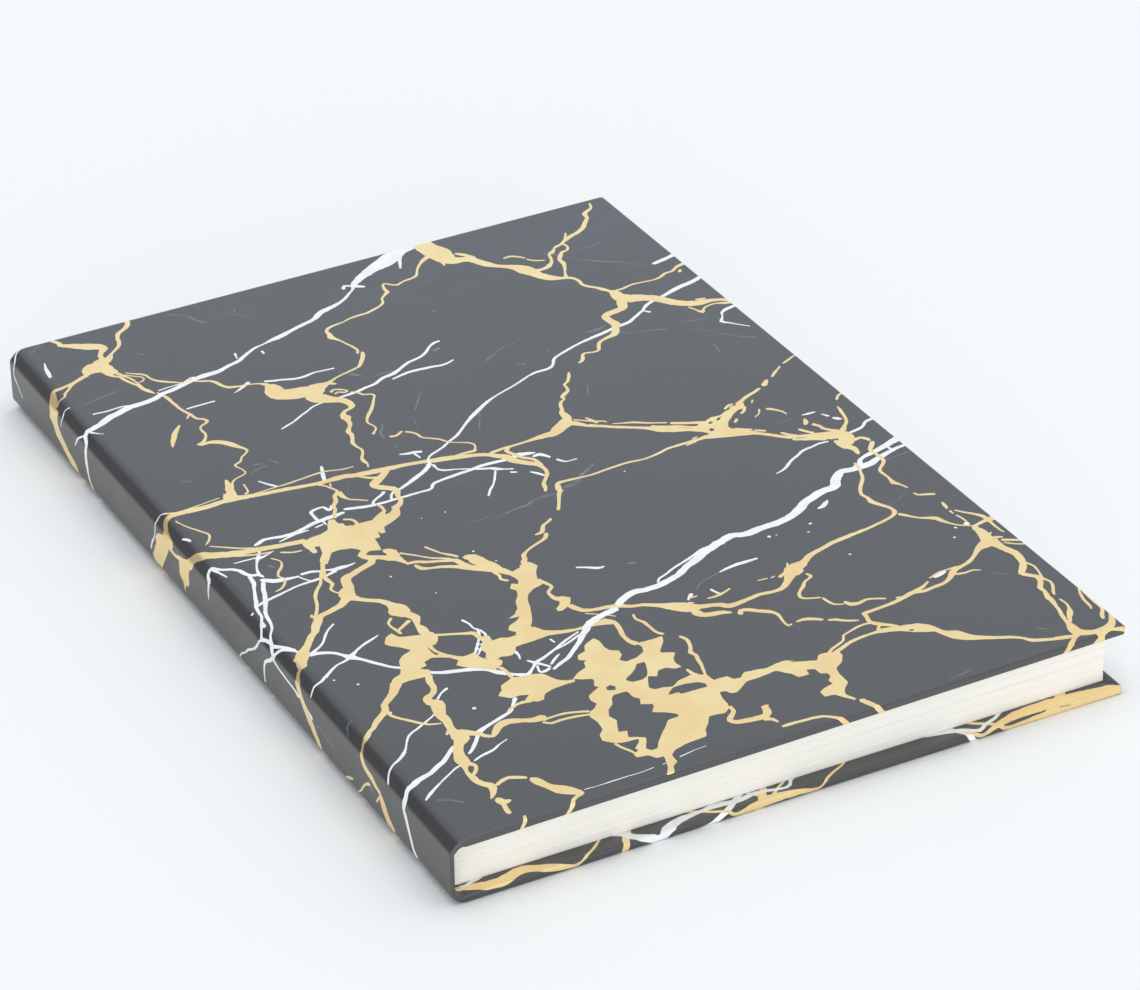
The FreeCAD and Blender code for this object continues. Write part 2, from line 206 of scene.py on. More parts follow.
def place(u, v, tilt, up):
    """Where a point of the flat sheet lies on the folded case. up is False for the back cover."""
    du = max(0.0, u - RECT_U)
    dv = max(0.0, abs(v) - RECT_V)
    side = 1.0 if v >= 0 else -1.0
    s = math.hypot(du, dv)
    build, edge = build_up(u)
    if s > 0:
        e, d = fold(s, build, edge)
        d = lerp(d, turn_in_depth(u), clamp((s - TURN_IN_START) / TURN_IN_RISE))
        base_u, base_v = min(u, RECT_U), side * min(abs(v), RECT_V)
        u, v = base_u + e * du / s, base_v + side * e * dv / s
    else:
        d = 0.0
    (x, z), (nx, nz) = sheet_line(u, tilt)
    x, z = x - nx * d, z - nz * d
    return Vector((x, v, z if up else HINGE_Z - z)) * MM


def arc_points(cu, cv, radius, start, stop, steps=CORNER_STEPS):
    return [(cu + radius * math.cos(math.radians(lerp(start, stop, k / steps))),
             cv + radius * math.sin(math.radians(lerp(start, stop, k / steps)))) for k in range(steps + 1)]


def cover_outline():
    """The flat cover sheet with its turn-ins, corners cut for the mitres, counter-clockwise."""
    g = MITRE_GAP
    tail = [(JOINT_U, -SHEET_V), (RECT_U - FLAP - g, -SHEET_V)]
    tail += [(RECT_U - g, -RECT_V - FOLDED)] + arc_points(RECT_U, -RECT_V, FOLDED, -90, 0)[1:-1]
    fore = [(RECT_U + FOLDED, -RECT_V + g), (SHEET_U, -RECT_V + FLAP + g), (SHEET_U, RECT_V - FLAP - g)]
    fore += [(RECT_U + FOLDED, RECT_V - g)] + arc_points(RECT_U, RECT_V, FOLDED, 0, 90)[1:-1]
    head = [(RECT_U - g, RECT_V + FOLDED), (RECT_U - FLAP - g, SHEET_V), (JOINT_U, SHEET_V)]
    return tail + fore + head


def fold_levels():
    """Distances from the inner rectangle at which the folded edge gets a crease line."""
    levels = [0.0, BREAKS[1]]
    levels += [lerp(BREAKS[1], BREAKS[2], k / ARC_STEPS) for k in range(1, ARC_STEPS + 1)]
    levels += [BREAKS[3]]
    levels += [lerp(BREAKS[3], BREAKS[4], k / ARC_STEPS) for k in range(1, ARC_STEPS + 1)]
    return levels + [BREAKS[5]]


def cover_creases():
    lines = []
    for s in fold_levels():
        line = [(JOINT_U, -RECT_V - s)]
        if s > 0:
            line += arc_points(RECT_U, -RECT_V, s, -90, 0) + arc_points(RECT_U, RECT_V, s, 0, 90)
        else:
            line += [(RECT_U, -RECT_V), (RECT_U, RECT_V)]
        lines.append(line + [(JOINT_U, RECT_V + s)])
    for side in (-1, 1):
        for k in range(1, CORNER_STEPS):
            a = math.radians(90 * k / CORNER_STEPS)
            lines.append([(RECT_U + r * math.cos(a), side * (RECT_V + r * math.sin(a)))
                          for r in (BREAKS[1], FOLDED)])
    lines += [[(JOINT_U, side * (RECT_V + s)), (BOARD_STEP, side * (RECT_V + s))]
              for side in (-1, 1) for s in (TURN_IN_START, TURN_IN_START + TURN_IN_RISE)]
    bends = [-SHOULDER_ARC * k / SHOULDER_STEPS for k in range(SHOULDER_STEPS)]
    bends += [-SHOULDER_ARC - run for run in SLOPE_RUNS]
    bends += [lerp(-SHOULDER_ARC - SLOPE, JOINT_U, k / FLAT_STEPS) for k in range(1, FLAT_STEPS)]
    for u in bends:
        lines.append([(u, -SHEET_V), (u, SHEET_V)])
    return lines


def spine_outline():
    return [(SPINE_U, -SHEET_V), (JOINT_U, -SHEET_V), (JOINT_U, SHEET_V), (SPINE_U, SHEET_V)]


def spine_creases():
    lines = [[(SPINE_U, side * (RECT_V + s)), (JOINT_U, side * (RECT_V + s))]
             for s in fold_levels() for side in (-1, 1)]
    for k in range(1, FLAT_STEPS + 1):
        for u in (lerp(JOINT_U, -BEND_END, k / FLAT_STEPS),
                  lerp(SPINE_U, BEND_END - 2 * MID_SPINE, k / FLAT_STEPS)):
            lines.append([(u, -SHEET_V), (u, SHEET_V)])
    return lines


# The printed pattern, drawn on the flat sheet. The colours are material slots of the sheet.
BLACK, GOLD, WHITE, GREY = range(4)
# Drawing order: a later level covers the earlier ones.
ON_GREY, ON_WHITE, ON_GOLD, ON_TOP, ON_HOLE = range(5)
LEVELS = {ON_GREY: GREY, ON_WHITE: WHITE, ON_GOLD: GOLD, ON_TOP: WHITE, ON_HOLE: BLACK}
SHEET_MARK = -1

# How the borders of veins and islands are drawn, in mm
STEP = 0.8
THINNEST, THINNEST_SIDE = 0.05, 0.04
TIP_SHARE = 0.4
VEIN_ROUGH, VEIN_ROUGH_PER_MM, BROAD = 0.05, 0.16, 1.2
ISLAND_ROUGH = 0.12
ISLAND_ROUNDING = 0.35
SLIVER, NEAR = 1e-5, 1e-4
FLAT_SCALE = 100


def wander(seed, s, size):
    """A smooth random offset along a line, seeded, at two scales."""
    a = noise.noise(Vector((s * 0.9, seed * 7.31, 0.5)))
    b = noise.noise(Vector((s * 2.7, seed * 3.17, 4.5)))
    return size * (0.65 * a + 0.55 * b)


def thicken(obj, thickness, offset):
    """Paper thickness, in mm, to one side of a sheet."""
    solid = obj.modifiers.new("paper thickness", "SOLIDIFY")
    solid.thickness = thickness * MM
    solid.offset = offset


def spline(a, b, c, d, t):
    """The value at t between b and c of the smooth curve through a, b, c and d."""
    return 0.5 * (2 * b + (c - a) * t + (2 * a - 5 * b + 4 * c - d) * t * t
                  + (3 * b - a - 3 * c + d) * t ** 3)


def steps_between(p, q):
    return round(math.hypot(q[0] - p[0], q[1] - p[1]) / STEP)


def smooth_route(route):
    """Points (u, v, width) every step or so along a curve through the route's points."""
    if len(route) == 2:
        route = [route[0], tuple(lerp(a, b, 0.5) for a, b in zip(*route)), route[1]]
    pts = [route[0]] + list(route) + [route[-1]]
    out = []
    for i in range(1, len(pts) - 2):
        count = max(2, steps_between(pts[i], pts[i + 1]))
        for k in range(count):
            out.append(tuple(spline(*four, k / count) for four in zip(*pts[i - 1:i + 3])))
    out.append(tuple(pts[-1]))
    return out


class Sheet:
    """Collects the outline, creases and pattern of one flat sheet and makes the folded mesh."""

    def __init__(self, outline, creases):
        self.verts, self.edges, self.faces, self.marks = [], [], [], []
        ring = self.points(outline)
        self.edges += [(ring[i], ring[(i + 1) % len(ring)]) for i in range(len(ring))]
        self.faces.append(ring)
        self.marks.append(SHEET_MARK)
        for line in creases:
            run = self.points(line)
            self.edges += list(zip(run, run[1:]))
        us, vs = [p[0] for p in outline], [p[1] for p in outline]
        self.low, self.high = (min(us), min(vs)), (max(us), max(vs))

    def points(self, pts):
        first = len(self.verts)
        self.verts += [Vector((p[0], p[1])) for p in pts]
        return list(range(first, first + len(pts)))

    def inside(self, pts):
        return any(self.low[0] < p[0] < self.high[0] and self.low[1] < p[1] < self.high[1] for p in pts)

    def face(self, ids, mark):
        a, b, c = (self.verts[i] for i in ids)
        area = (b - a).cross(c - a)
        if abs(area) < SLIVER:
            return
        self.faces.append(list(ids) if area > 0 else list(reversed(ids)))
        self.marks.append(mark)

    def stroke(self, route, mark, seed):
        """A vein: a band along the route, its width and both edges a little uneven."""
        line = smooth_route(route)
        left, right = [], []
        for i, (u, v, w) in enumerate(line):
            a, b = line[max(0, i - 1)], line[min(len(line) - 1, i + 1)]
            du, dv = b[0] - a[0], b[1] - a[1]
            size = math.hypot(du, dv) or 1.0
            half = max(THINNEST, w / 2)
            rough = VEIN_ROUGH + VEIN_ROUGH_PER_MM * min(half, BROAD)
            for edge, way, edge_seed in ((left, 1, seed), (right, -1, seed + 50)):
                reach = way * max(THINNEST_SIDE, half + wander(edge_seed, i * STEP, rough))
                edge.append((u - dv / size * reach, v + du / size * reach))
        if not self.inside(left + right):
            return
        left, right = self.points(left), self.points(right)
        for end, (at, before) in ((0, line[:2]), (-1, line[:-3:-1])):
            du, dv = at[0] - before[0], at[1] - before[1]
            reach = TIP_SHARE * at[2] / (math.hypot(du, dv) or 1.0)
            tip = self.points([(at[0] + du * reach, at[1] + dv * reach)])
            self.face((tip[0], left[end], right[end]), mark)
        for i in range(len(line) - 1):
            self.face((left[i], right[i], right[i + 1]), mark)
            self.face((left[i], right[i + 1], left[i + 1]), mark)

    def island(self, ring, mark, seed):
        """A closed area: its border runs through the ring's points and is a little uneven."""
        pts = []
        for i in range(len(ring)):
            four = [ring[(i + k - 1) % len(ring)] for k in range(4)]
            count = max(1, steps_between(four[1], four[2]))
            for k in range(count):
                u, v = (lerp(lerp(c[1], c[2], k / count), spline(*c, k / count), ISLAND_ROUNDING)
                        for c in zip(*four))
                run = len(pts) * STEP
                pts.append((u + wander(seed, run, ISLAND_ROUGH), v + wander(seed + 9, run, ISLAND_ROUGH)))
        if not self.inside(pts):
            return
        area = sum(a[0] * b[1] - b[0] * a[1] for a, b in zip(pts, pts[1:] + pts[:1]))
        if area < 0:
            pts.reverse()
        self.faces.append(self.points(pts))
        self.marks.append(mark)

    def mesh(self, name, tilt, up, materials):
        """The folded sheet as one object: triangulated flat, then laid on the case."""
        flat = delaunay_2d_cdt(self.verts, self.edges, self.faces, 0, NEAR, True)
        verts, faces, came_from = flat[0], flat[2], flat[5]
        bm = bmesh.new()
        flat_u = bm.loops.layers.uv.new("flat")
        made = [bm.verts.new(place(p.x, p.y, tilt, up)) for p in verts]
        for face, origin in zip(faces, came_from):
            levels = [self.marks[i] for i in origin]
            if SHEET_MARK not in levels:
                continue
            top = max(levels)
            order = face if up else list(reversed(face))
            try:
                f = bm.faces.new([made[i] for i in order])
            except ValueError:
                continue
            f.material_index = LEVELS.get(top, BLACK)
            f.smooth = True
            for loop, i in zip(f.loops, order):
                loop[flat_u].uv = (verts[i].x / FLAT_SCALE, verts[i].y / FLAT_SCALE)
        bmesh.ops.delete(bm, geom=[v for v in bm.verts if not v.link_faces], context="VERTS")
        data = bpy.data.meshes.new(name)
        bm.to_mesh(data)
        bm.free()
        obj = bpy.data.objects.new(name, data)
        bpy.context.collection.objects.link(obj)
        for m in materials:
            data.materials.append(m)
        thicken(obj, WRAP, -1.0)
        return obj



def routes(text):
    """Lines of the pattern: "name: u v width, u v width;" one after another, in mm on the flat sheet."""
    return [[tuple(map(float, point.split())) for point in line.split(":")[-1].split(",")]
            for line in text.split(";")]


# The marbled pattern of the front and the spine: veins, and rings round the broad gold areas.
GREY_VEINS = routes("""
-1 77.5 .3, 1 76.9 .3, 4 77.6 .3, 7 78.4 .3, 10.5 79 .3, 13 80.3 .2;
8 69 .2, 11 68.2 .2, 14.5 66.6 .2;
33.8 105.6 .6, 35.5 104 .9, 37.3 102.6 .5, 38 100.5 .5, 38.5 99 .5, 39.6 97.8 .5;
41.5 98.8 .3, 43 99.8 .4, 45 98.9 .5, 46.3 98.3 .6, 48 96.6 .2, 49.5 95 .2;
47.2 98.6 .4, 47.8 101 .4;
55.5 62.5 .3, 56.6 61 .5, 57.8 59.8 .8, 59.2 57.9 .4;
21 92.5 .4, 21.8 91 .3;
0 103.5 .3, 3 106 .3, 4 107 .3;
122.8 85.2 .3, 125 82.5 .3, 128 79.8 .5, 130 78.2 .4, 132.6 76.5 .7, 134.5 74.6 .2, 136.5 72.4 .3;
119 89.3 .5, 120.5 88 .6, 121.8 86.6 .8;
126.8 86 .2, 129 86.6 .3, 131 86.8 .2, 133.4 87.6 .3;
77.5 60.6 .8, 79 61.2 .8;
89.8 91 .4, 91.5 90 .4;
85.2 77.6 .4, 86 76.4 .4;
60.5 56.8 .3, 63 57.2 .4, 66 57 .4;
85.4 50.8 .5, 86.5 51.8 .5, 88 52.4 .5, 89.8 53.6 .3, 92 54.6 .2, 95 55.4 .2, 98 56.7 .2;
100 48.6 .4, 98.8 48 .5;
90.2 46.2 .3, 92 45.2 .5;
110 51.3 .3, 113 51.1 .7, 115.3 52 .4;
117 47 .5, 119 46 .3, 122 45.2 .4, 124.5 44.4 .5, 126 43 .3;
130.5 44.8 .3, 133 44 .3, 135.5 43.6 .5;
131 41 .2, 133 39 .25, 135 36.5 .3, 137.5 33.8 .4, 139 32 .5, 140.5 31 .5, 141.8 29.8 .3;
131.8 32.4 .4, 131.4 30.6 .5, 131.3 28.8 .4;
99.2 30.4 .2, 98.6 29 .6, 97.2 26.6 .2;
73.5 31 .6, 72.8 29.4 .4, 71.4 27 .3, 70.4 24.6 .2;
21 31.8 .3, 21.2 33 .3, 22.3 33.2 .4, 23.8 33.8 .5, 24.9 33.6 .5;
23 35.6 .6, 24.5 34.9 .6;
26.3 36.2 .4, 27 35 .5, 27.7 33.6 .4;
7 36.9 .4, 7.8 36.3 .6, 8.6 35.8 .3;
53.7 37.8 .4, 53 36 .3, 51.8 34.6 .5, 51.4 33 .5, 51.3 31.6 .3;
51.9 28.4 .6, 52 27.2 .7;
67 46.2 .3, 65.6 44 .3, 64 41.6 .4, 62.4 39.4 .3;
60.8 37 .2, 60 34.4 .2, 59.2 31 .2;
36.3 18.6 .2, 35.4 16.4 .2, 34.6 14.6 .2;
32.2 43.2 .2, 33.6 45 .25;
44 -8.6 .2, 50 -8 .2, 55.6 -8.1 .25;
56.4 -8.7 .5, 60 -8.4 .5, 62.6 -7.8 .5, 64.4 -7.8 .6, 66.5 -6.8 .6, 69 -6.4 .8, 71.5 -6.6 .7, 74 -6.5 .6;
74.6 -5.2 .5, 76.4 -5.2 1.2, 78.6 -4 1.1, 80.4 -2.4 .8, 82.4 -1.2 .7, 84.6 .2 .5;
124 -3.8 .2, 127 -4.4 .25, 130 -4.2 .2;
144.7 -28.4 .3, 141 -28.6 .4, 137 -29.2 .4, 133 -29.6 .4;
71.6 -38.2 .6, 73 -38.5 .8;
78.8 -53.6 .3, 80.4 -52 .5, 83 -51 .4, 86 -50.2 .4;
105.2 -106 .5, 108 -105.8 .4, 110.6 -105.2 .2;
133 -77.4 .5, 134.4 -79 .3, 136 -80.2 .2;
129.4 -99.4 .5, 131 -100.6 .3, 132.6 -101.6 .2;
1.4 -93.6 1, 3.4 -94.8 .5, 5 -96.6 .4;
-9.4 -50 .4, -8.8 -51.6 .5, -9.4 -54 .6, -9.4 -56 .7, -9.6 -58 .6;
-1 -61.6 .3, -2.4 -61.8 .5, -3 -62.8 .4, -4 -64 .2;
-8.4 -73 1, -9.8 -74.6 1.2;
126 -45.6 .2, 130 -44.6 .2, 134.4 -42.6 .2;
8.6 -2.6 .6, 9.4 -3.8 .5;
56.4 10 .2, 57.2 7 .2, 57.8 4.4 .2
""")
WHITE_VEINS = routes("""
long white, spine: -13.6 61.2 .4, -12.4 63 .6, -11 63.8 .8, -8.6 64.4 1.4, -6 64.5 1.3, -4.2 64 1.1, -3.4
65 1, -2.8 66.2 1.2, -1.8 66.8 1.5, -.6 66.6 1.5, 1.5 67.4 1.6, 5 69.4 1.8, 7 70 1.8, 9.5 71 1.7, 13 71.3
1.6;
long white: 21 73.4 1.3, 24 74.4 1.2, 27.5 75.5 1.4, 30 75.8 1.7, 33 76 1.3, 36 77.2 1, 38.6 78 1, 41 79.7
.9, 44 81.5 .7, 46.5 82.2 .5, 48.5 82.9 1, 51 83.5 1.5, 54.5 84.8 1.1, 58 86 1.1, 61 87 1.2, 63.5 89 1.5,
66.5 90 1.3, 69 91 1, 71.5 92.6 .8, 73 94 .6, 74.5 95.3 .6, 76 97.5 1.6, 79 99.8 2.2, 82.5 101.8 3, 86
103.3 4.2, 89 105 4.4, 92 106.8 3.5, 95 107.5 3;
long white low branch: 2 72.3 .5, 5 72 .5, 8.5 72.2 .5, 11 71.6 .5;
long white top branch: 18.3 74.7 .5, 21 75 .4, 24 75.2 .4, 26.5 76.3 .5, 27.5 76 .6;
head hook: 88.2 99 .5, 89.2 101.2 .8, 90.2 103.4 .9, 91.2 105 1;
head blotch a: 72.8 96.5 .8, 73.6 97.8 .8, 74.6 97 .6;
head blotch b: 75.5 96.5 1.2, 77.3 95.2 .8;
fleck a: 38.8 79.2 .3, 39.3 81.5 .6;
fleck b: 44.8 78.3 .5, 44.9 79.5 .6;
fleck c: 32 65.6 .2, 33 66 .4, 34.8 67.1 .8, 36.5 68.2 .9;
thread a: 39.8 66.8 .7, 42 66 .7, 43.5 65.6 .6, 45.5 64.7 .8, 48 64.5 .8, 50.5 65 .6, 53 64.8 .5, 55.2
64.6 .5;
thread b: 20.3 64.3 .5, 23 64.4 .5, 26.8 64.4 .5;
hinge fleck: .2 92 .8, .6 94.4 1, .8 96 .7, 1.5 98.5 .2;
fore head: 138.6 72 .9, 140.5 72.4 1.2, 142.5 72.9 1.2, 144.7 73.5 1.2;
second: 34.3 46.2 .4, 36 47 .5, 38 47.9 .5, 40 49.2 .5, 42 50.3 .5, 44.2 51.6 .5, 47 52.2 .4, 50 52.4 .3,
52 52.4 .7, 55 52.7 .9, 57.5 53.4 .8, 60 53.9 .8, 62.5 55.3 .9, 65.5 56 1, 68 57.4 .8, 70.5 58.8 .8, 73.5
59.6 .7, 75.5 60.8 .7, 77.5 62.8 .6, 79 63.8 .7, 80.5 64 .6;
second side: 64.2 53.8 .5, 66.5 54.4 .7, 69 54.8 .8, 72 54.6 .9, 74 54.4 .9, 76 54 .7, 78 54.3 .6, 79.3
54.9 .4;
third: 58.5 21.3 .6, 60.5 22.2 .6, 62.5 23.6 .6, 65 25 .7, 67 26.7 .6, 69.5 29 .7, 72 31 1, 74 32.4 1,
77.5 34.8 .8, 80 36 .5, 82.5 37 .5, 85 37.9 .5, 87.5 39 .5, 90 40.2 .5, 92.5 40.9 .8, 95.2 40.9 .8, 97 42
.7, 98.5 44.2 .7, 100.5 45.3 .6, 103 46.3 .7, 106 47.4 .7, 109.5 48.3 .9, 113 49 1, 117 50 1, 120.5 50.6
.9, 122.5 51.8 .8, 124.5 53 .8, 126 54 .7, 127.5 55.4 .9, 129.5 56.4 .9, 132 57.2 .9, 134.5 58 1, 138 59.3
1.3, 141.5 60 1.2, 144.7 61.2 1.2;
third nib: 126 53.4 .5, 126.8 52.4 .8;
wedge: 32.8 21.4 .5, 33.3 23.6 .9, 34.2 26 .8, 34.8 27.8 .5;
dash 22: 20.9 28.8 .4, 21.8 27.2 .5, 22.6 26 .6, 23.3 25.1 .6;
stroke 53: 51.2 24 .4, 53 23.4 .8, 54.5 23.2 1, 55.6 22.8 .8;
right 45: 144.7 45.6 .9, 142 45 1, 140.3 44 .6, 139.6 42.4 .4, 138.3 40.6 .9, 139.5 39.2 .5, 141 37.4 .4,
142.6 35.6 .3;
middle: 9.5 5.8 .6, 10.5 6.2 1, 12 6.9 .9, 14 6.7 .8, 16 6.2 1, 18.5 6.2 1, 21 6.9 1, 24 7.8 1.1, 27 8.2
1.2, 29 8.3 1.2, 30.8 8.6 .7;
middle on: 31.5 9.6 .8, 33.5 9 1, 36 8.3 .9, 39 8 .8, 43 8 .7, 47 8 .7, 50.4 8 .7, 51.2 8.8 .7, 52 9.7 .8,
54.5 10.2 .8, 58 10.6 .9, 61 10.8 .9, 64 11.2 1, 67 11.1 1, 69.5 10.8 .9, 71 11 1, 72.5 11.3 1.6, 74.5
10.9 1.2, 76 10.4 .5;
middle thread: 14.5 4.6 .4, 16.5 5.2 .5, 19 5.8 .6, 21.5 5.8 .4;
middle thread b: 23.2 6 .4, 25 6.4 .5;
middle loop: 24.8 8.6 .8, 24.8 10.4 .6, 25 12 .8, 26.4 12.6 .7, 28 12.6 .6, 28.4 11.2 .9, 28.8 10.9 .9,
29.4 11.6 .6, 29.6 12.4 .3;
middle loop tail: 25.6 7.6 .5, 25.6 6 .4;
middle branch: 37.4 8.4 .6, 38 9.4 .6, 39.2 10.2 .6, 40.6 11 .7, 41.6 11.8 .7;
middle rise: 41.6 8.4 .5, 42.4 10 .6, 43.4 10.8 .6, 45 11.2 .7, 47.5 12.4 .9, 50 13.8 1.1, 52.2 15 1, 54
16.4 1, 55 17.4 .7;
middle fall: 55.4 14.4 .6, 56.4 13.4 .7, 58.6 12.6 .4, 60.6 11.6 .5, 62.5 10.4 .6, 65 9.4 .8, 65.8 8.6
1.2, 67.4 7.6 .5, 69 6.8 .5;
middle fall low: 65.4 7.8 .5, 64 5.4 .5, 62.4 3 .4, 61 1.6 .6, 60 .2 .5, 59.6 -.4 .5;
middle fleck: 68 5.8 .6, 69 5.2 .6;
middle end: 71.6 3.8 .5, 72.6 2.6 .8, 73.4 1 .5;
knot fleck a: 75 9.2 .6, 76.5 9.3 1.2, 77.4 8.2 .8, 77.9 7.2 .6;
knot fleck b: 78.8 5.6 .7, 79.6 4.2 .6, 80.6 3.8 .3, 82.4 3.8 .4;
web a: -8 .8 .4, -6 .8 .6, -4 .4 .9, -3.4 1.6 .8, -2.8 2.4 .9, -1.6 2.6 1, -1 1.6 .8, 0 .5 .8, 1.6 -.2 .9,
2.8 -1.6 1, 3.4 -3.4 1, 4.2 -4.4 .9, 5.4 -4.8 .9, 6 -6 .6;
web a leg: -1.6 2 .6, -1 0 .5, -.4 -2.4 .4;
web b: 5.2 -7 1.2, 7 -8.4 1.5, 9 -9 1.3, 11 -9.3 .8, 12.2 -9.4 .6;
web b on: 13 -9 .8, 15 -9 .9, 16.4 -9.6 .7, 18 -10 .5, 19.5 -10.6 1, 21.2 -10.6 1.2, 22.8 -10.7 .7, 24.4
-10.3 .2;
web c: 3.6 -4.6 .9, 3.4 -7 1, 2.6 -9 .7, 1.6 -11.6 .7, .8 -13.8 .9, 0 -15.6 .8, -.4 -18 .6, -.6 -19.6 .6,
-1.6 -21.4 .6, -2.6 -23 .6, -3.6 -24.4 .8, -3.2 -25.6 .8, -2.8 -27 .8, -2.8 -28 1, -3.8 -29.6 .8, -4.4
-30.6 .9;
web d: 5 -8 .9, 4 -10.4 .9, 3.4 -12.4 .9, 2.6 -14.4 1, 1.6 -16.6 .8, .6 -18.8 .8, .2 -20.8 .8, 0 -22.6 .6,
-.6 -24.4 .5, -1.8 -26 .6, -2.6 -27.6 .8;
web e: 0 -15.6 .7, 2.5 -14.6 .8, 5 -14 .7, 8 -13.2 .5, 11 -12.5 .6, 14 -12.4 .7, 17 -12 .6, 19.5 -11.2 .9;
web f: 12.2 -9.8 .4, 12.8 -11 .4, 13.6 -12.2 .5;
web g: 5.6 -5 .8, 6 -3 .5, 7 -.6 .5, 8 1 .9, 9 2.6 .6, 9.6 3.8 .5;
web h: 8.4 .8 .9, 10.4 1.4 .4, 12 2 .2;
web i: 3 1.6 .3, 5 1.5 .4, 7.6 1.4 .5;
spine white a: -13.6 -13.6 .4, -12 -15 .4, -11 -16.6 .4, -9.6 -18 .5, -8.6 -19.6 .5, -7.2 -21.6 .6, -5.4
-23.2 .6, -4 -24.2 .6, -3.4 -25 .8;
spine white b: -12.6 -26 .4, -10.6 -25.7 .7, -8.6 -26 .7, -7.2 -27 .7, -6.2 -28.6 .7, -5.2 -29.8 .9, -4.4
-30.6 1.1, -3.4 -30.8 .9, -2 -31.6 .7, -1 -33 .7, 0 -34.4 .6, 1.2 -36.4 1.3, 3 -37 1.2, 5 -37.8 .9, 6.4
-38.8 .9, 7.4 -40.2 .9, 8.2 -41.4 1.6, 9.6 -43 .9, 11 -45 .9, 12.4 -47 .8, 13.8 -48.8 .7, 15.4 -50 .9;
spine white c: -3 -28.4 .8, -2.2 -30 .7, -1 -32 .6, 0 -33.8 .6;
spine white d: -5 -30.6 .8, -5.6 -32.8 .6, -5.9 -35 .6, -6.2 -37.6 .6, -6.4 -40 .6, -7 -42 .9;
spine white e: -8 -46 .8, -8.6 -48 .9;
hinge knot: -1.5 -22.6 .9, -1.2 -21.2 .5;
hinge dot: -1.8 -17.2 .6, -1.4 -17 .5;
hinge curl: -2 16.4 .4, -1.4 15.4 .6, -1 14.2 .5;
hinge thread: 1 -45.4 .6, -.4 -46.6 .6, -2 -46.6 .5, -3 -47 .4, -4 -47.6 .3;
cross a: 1.4 -37 .8, 4 -35.6 .6, 6 -34 .5, 7.4 -32 .5, 8.8 -30.4 .4, 10.6 -29 .4;
cross b: 1 -45.6 .8, 3 -44 .6, 4.8 -42.8 .5, 7 -42.2 .6, 8.4 -41.4 1.2, 10.4 -39.9 .6, 12.4 -38.8 .6, 14.8
-37.8 .5, 16.4 -37.1 .3;
low line: 19 -53.8 .8, 20 -54.6 .9, 21.4 -55.4 1.1, 23.2 -56 1.1, 25 -56.6 1.1, 26.4 -57 1.3, 28 -57.8
1.1, 29.4 -58.8 1.2, 30.6 -60.4 1.3, 31.8 -61.8 1, 33.6 -63.2 .9, 35.4 -64.2 1.1, 36.6 -63.2 .6, 38 -62
.6, 38.6 -61.2 .9, 40.4 -60.6 .7, 42.6 -59.6 .6, 44.6 -58.6 .6, 46.8 -57.4 .6, 49 -56.4 .5, 51 -55.6 .4;
low line spike: 26.8 -55.8 .4, 27 -56.8 .8;
low web a: 37.6 -59.8 .5, 38.6 -61.4 .9, 39.6 -62.6 .6, 40.4 -64 .5;
low web b: 38.4 -62.4 .4, 37.8 -64.4 .5, 38.6 -64.9 .8, 40 -64.4 .7;
low web c: 43.2 -59.2 .4, 46 -58.6 .5, 48.6 -57.6 .5, 50.6 -56.6 .4;
low web d: 45 -55.2 .4, 45.2 -56.6 .4;
low web e: 37 -55.8 .8, 37 -57.2 .5, 36.6 -58.6 .3;
low web f: 41 -63.2 .5, 42.6 -61.8 .6, 44 -60.8 .3;
wide: 40.6 -65 .6, 42.4 -64 .8, 44.6 -63 .9, 46.4 -61.6 .9, 48 -60.2 1, 49.6 -58.8 1.1, 51 -57.2 1.3, 52.6
-55.8 1.5;
wide on: 64 -49.6 1.7, 66 -48.6 1.8, 68 -48.2 1.8, 70 -48.6 1.6, 73 -48.5 1.7, 76.5 -47.6 1.5, 79 -46.6
1.6, 81.4 -45 1.6, 84.4 -43.6 1.9, 87 -42 2, 89.6 -41 2, 92.4 -40 1.9, 95 -39.2 1.9, 96.6 -39.8 1.8, 98.4
-40.2 1.9, 101 -39.7 1.9, 104.4 -39.6 1.9, 107.6 -39.2 1.8, 110.4 -38.2 1.9, 112.4 -37 2, 114.4 -35.4 2,
117 -34.4 2, 120 -33.3 2.1, 122.8 -33.1 2.1, 124.4 -31.2 2.2, 126 -29.4 1.9, 127.4 -28.4 1.8, 129.6 -28.8
1.8, 132 -28.9 1.8, 134.4 -28.6 1.7, 136.4 -27.8 1.4, 139 -26.9 1.2, 142 -26 1, 144.7 -25.6 .8;
wide top: 131 -28.4 1.4, 132.4 -27.6 1.2, 133.2 -26.4 1, 134.6 -25.6 1, 137 -25 1.2, 140 -24.2 1.4, 142.4
-23.4 1.7, 144.7 -22.6 1.9;
wide link: 141.2 -25.8 .6, 141 -24.6 .5;
wide companion: 73.4 -47.4 .4, 74.4 -46.2 .5, 76 -45.6 .5, 78.4 -44.4 .5, 80.4 -43.6 .5, 82.4 -42.9 .6, 85
-41.8 .6, 87 -40.8 .6, 89 -40.6 .6;
dash 76: 77 -54.6 .9, 76 -55.4 .6, 75.4 -56.2 .4;
dash 81: 81.2 -55 .6, 81.6 -56.4 .6, 82 -57.4 .6;
dash 88: 86 -50.2 .4, 87.6 -49.8 .7, 90 -49.4 .9, 92.5 -49.4 .9, 95 -49.4 .6;
dash 117: 115.6 -38.8 .5, 116.8 -38.6 1.1, 118.2 -37.6 .9, 119 -37 .3;
dash 64: 62 -34.3 .5, 64 -35.4 .7, 65.6 -36.6 .9, 67 -36.7 .4;
ladder a: 34.4 -44.8 .5, 33.6 -47 .6, 32.4 -49 .5, 31 -51 .6, 29.8 -52.6 .5;
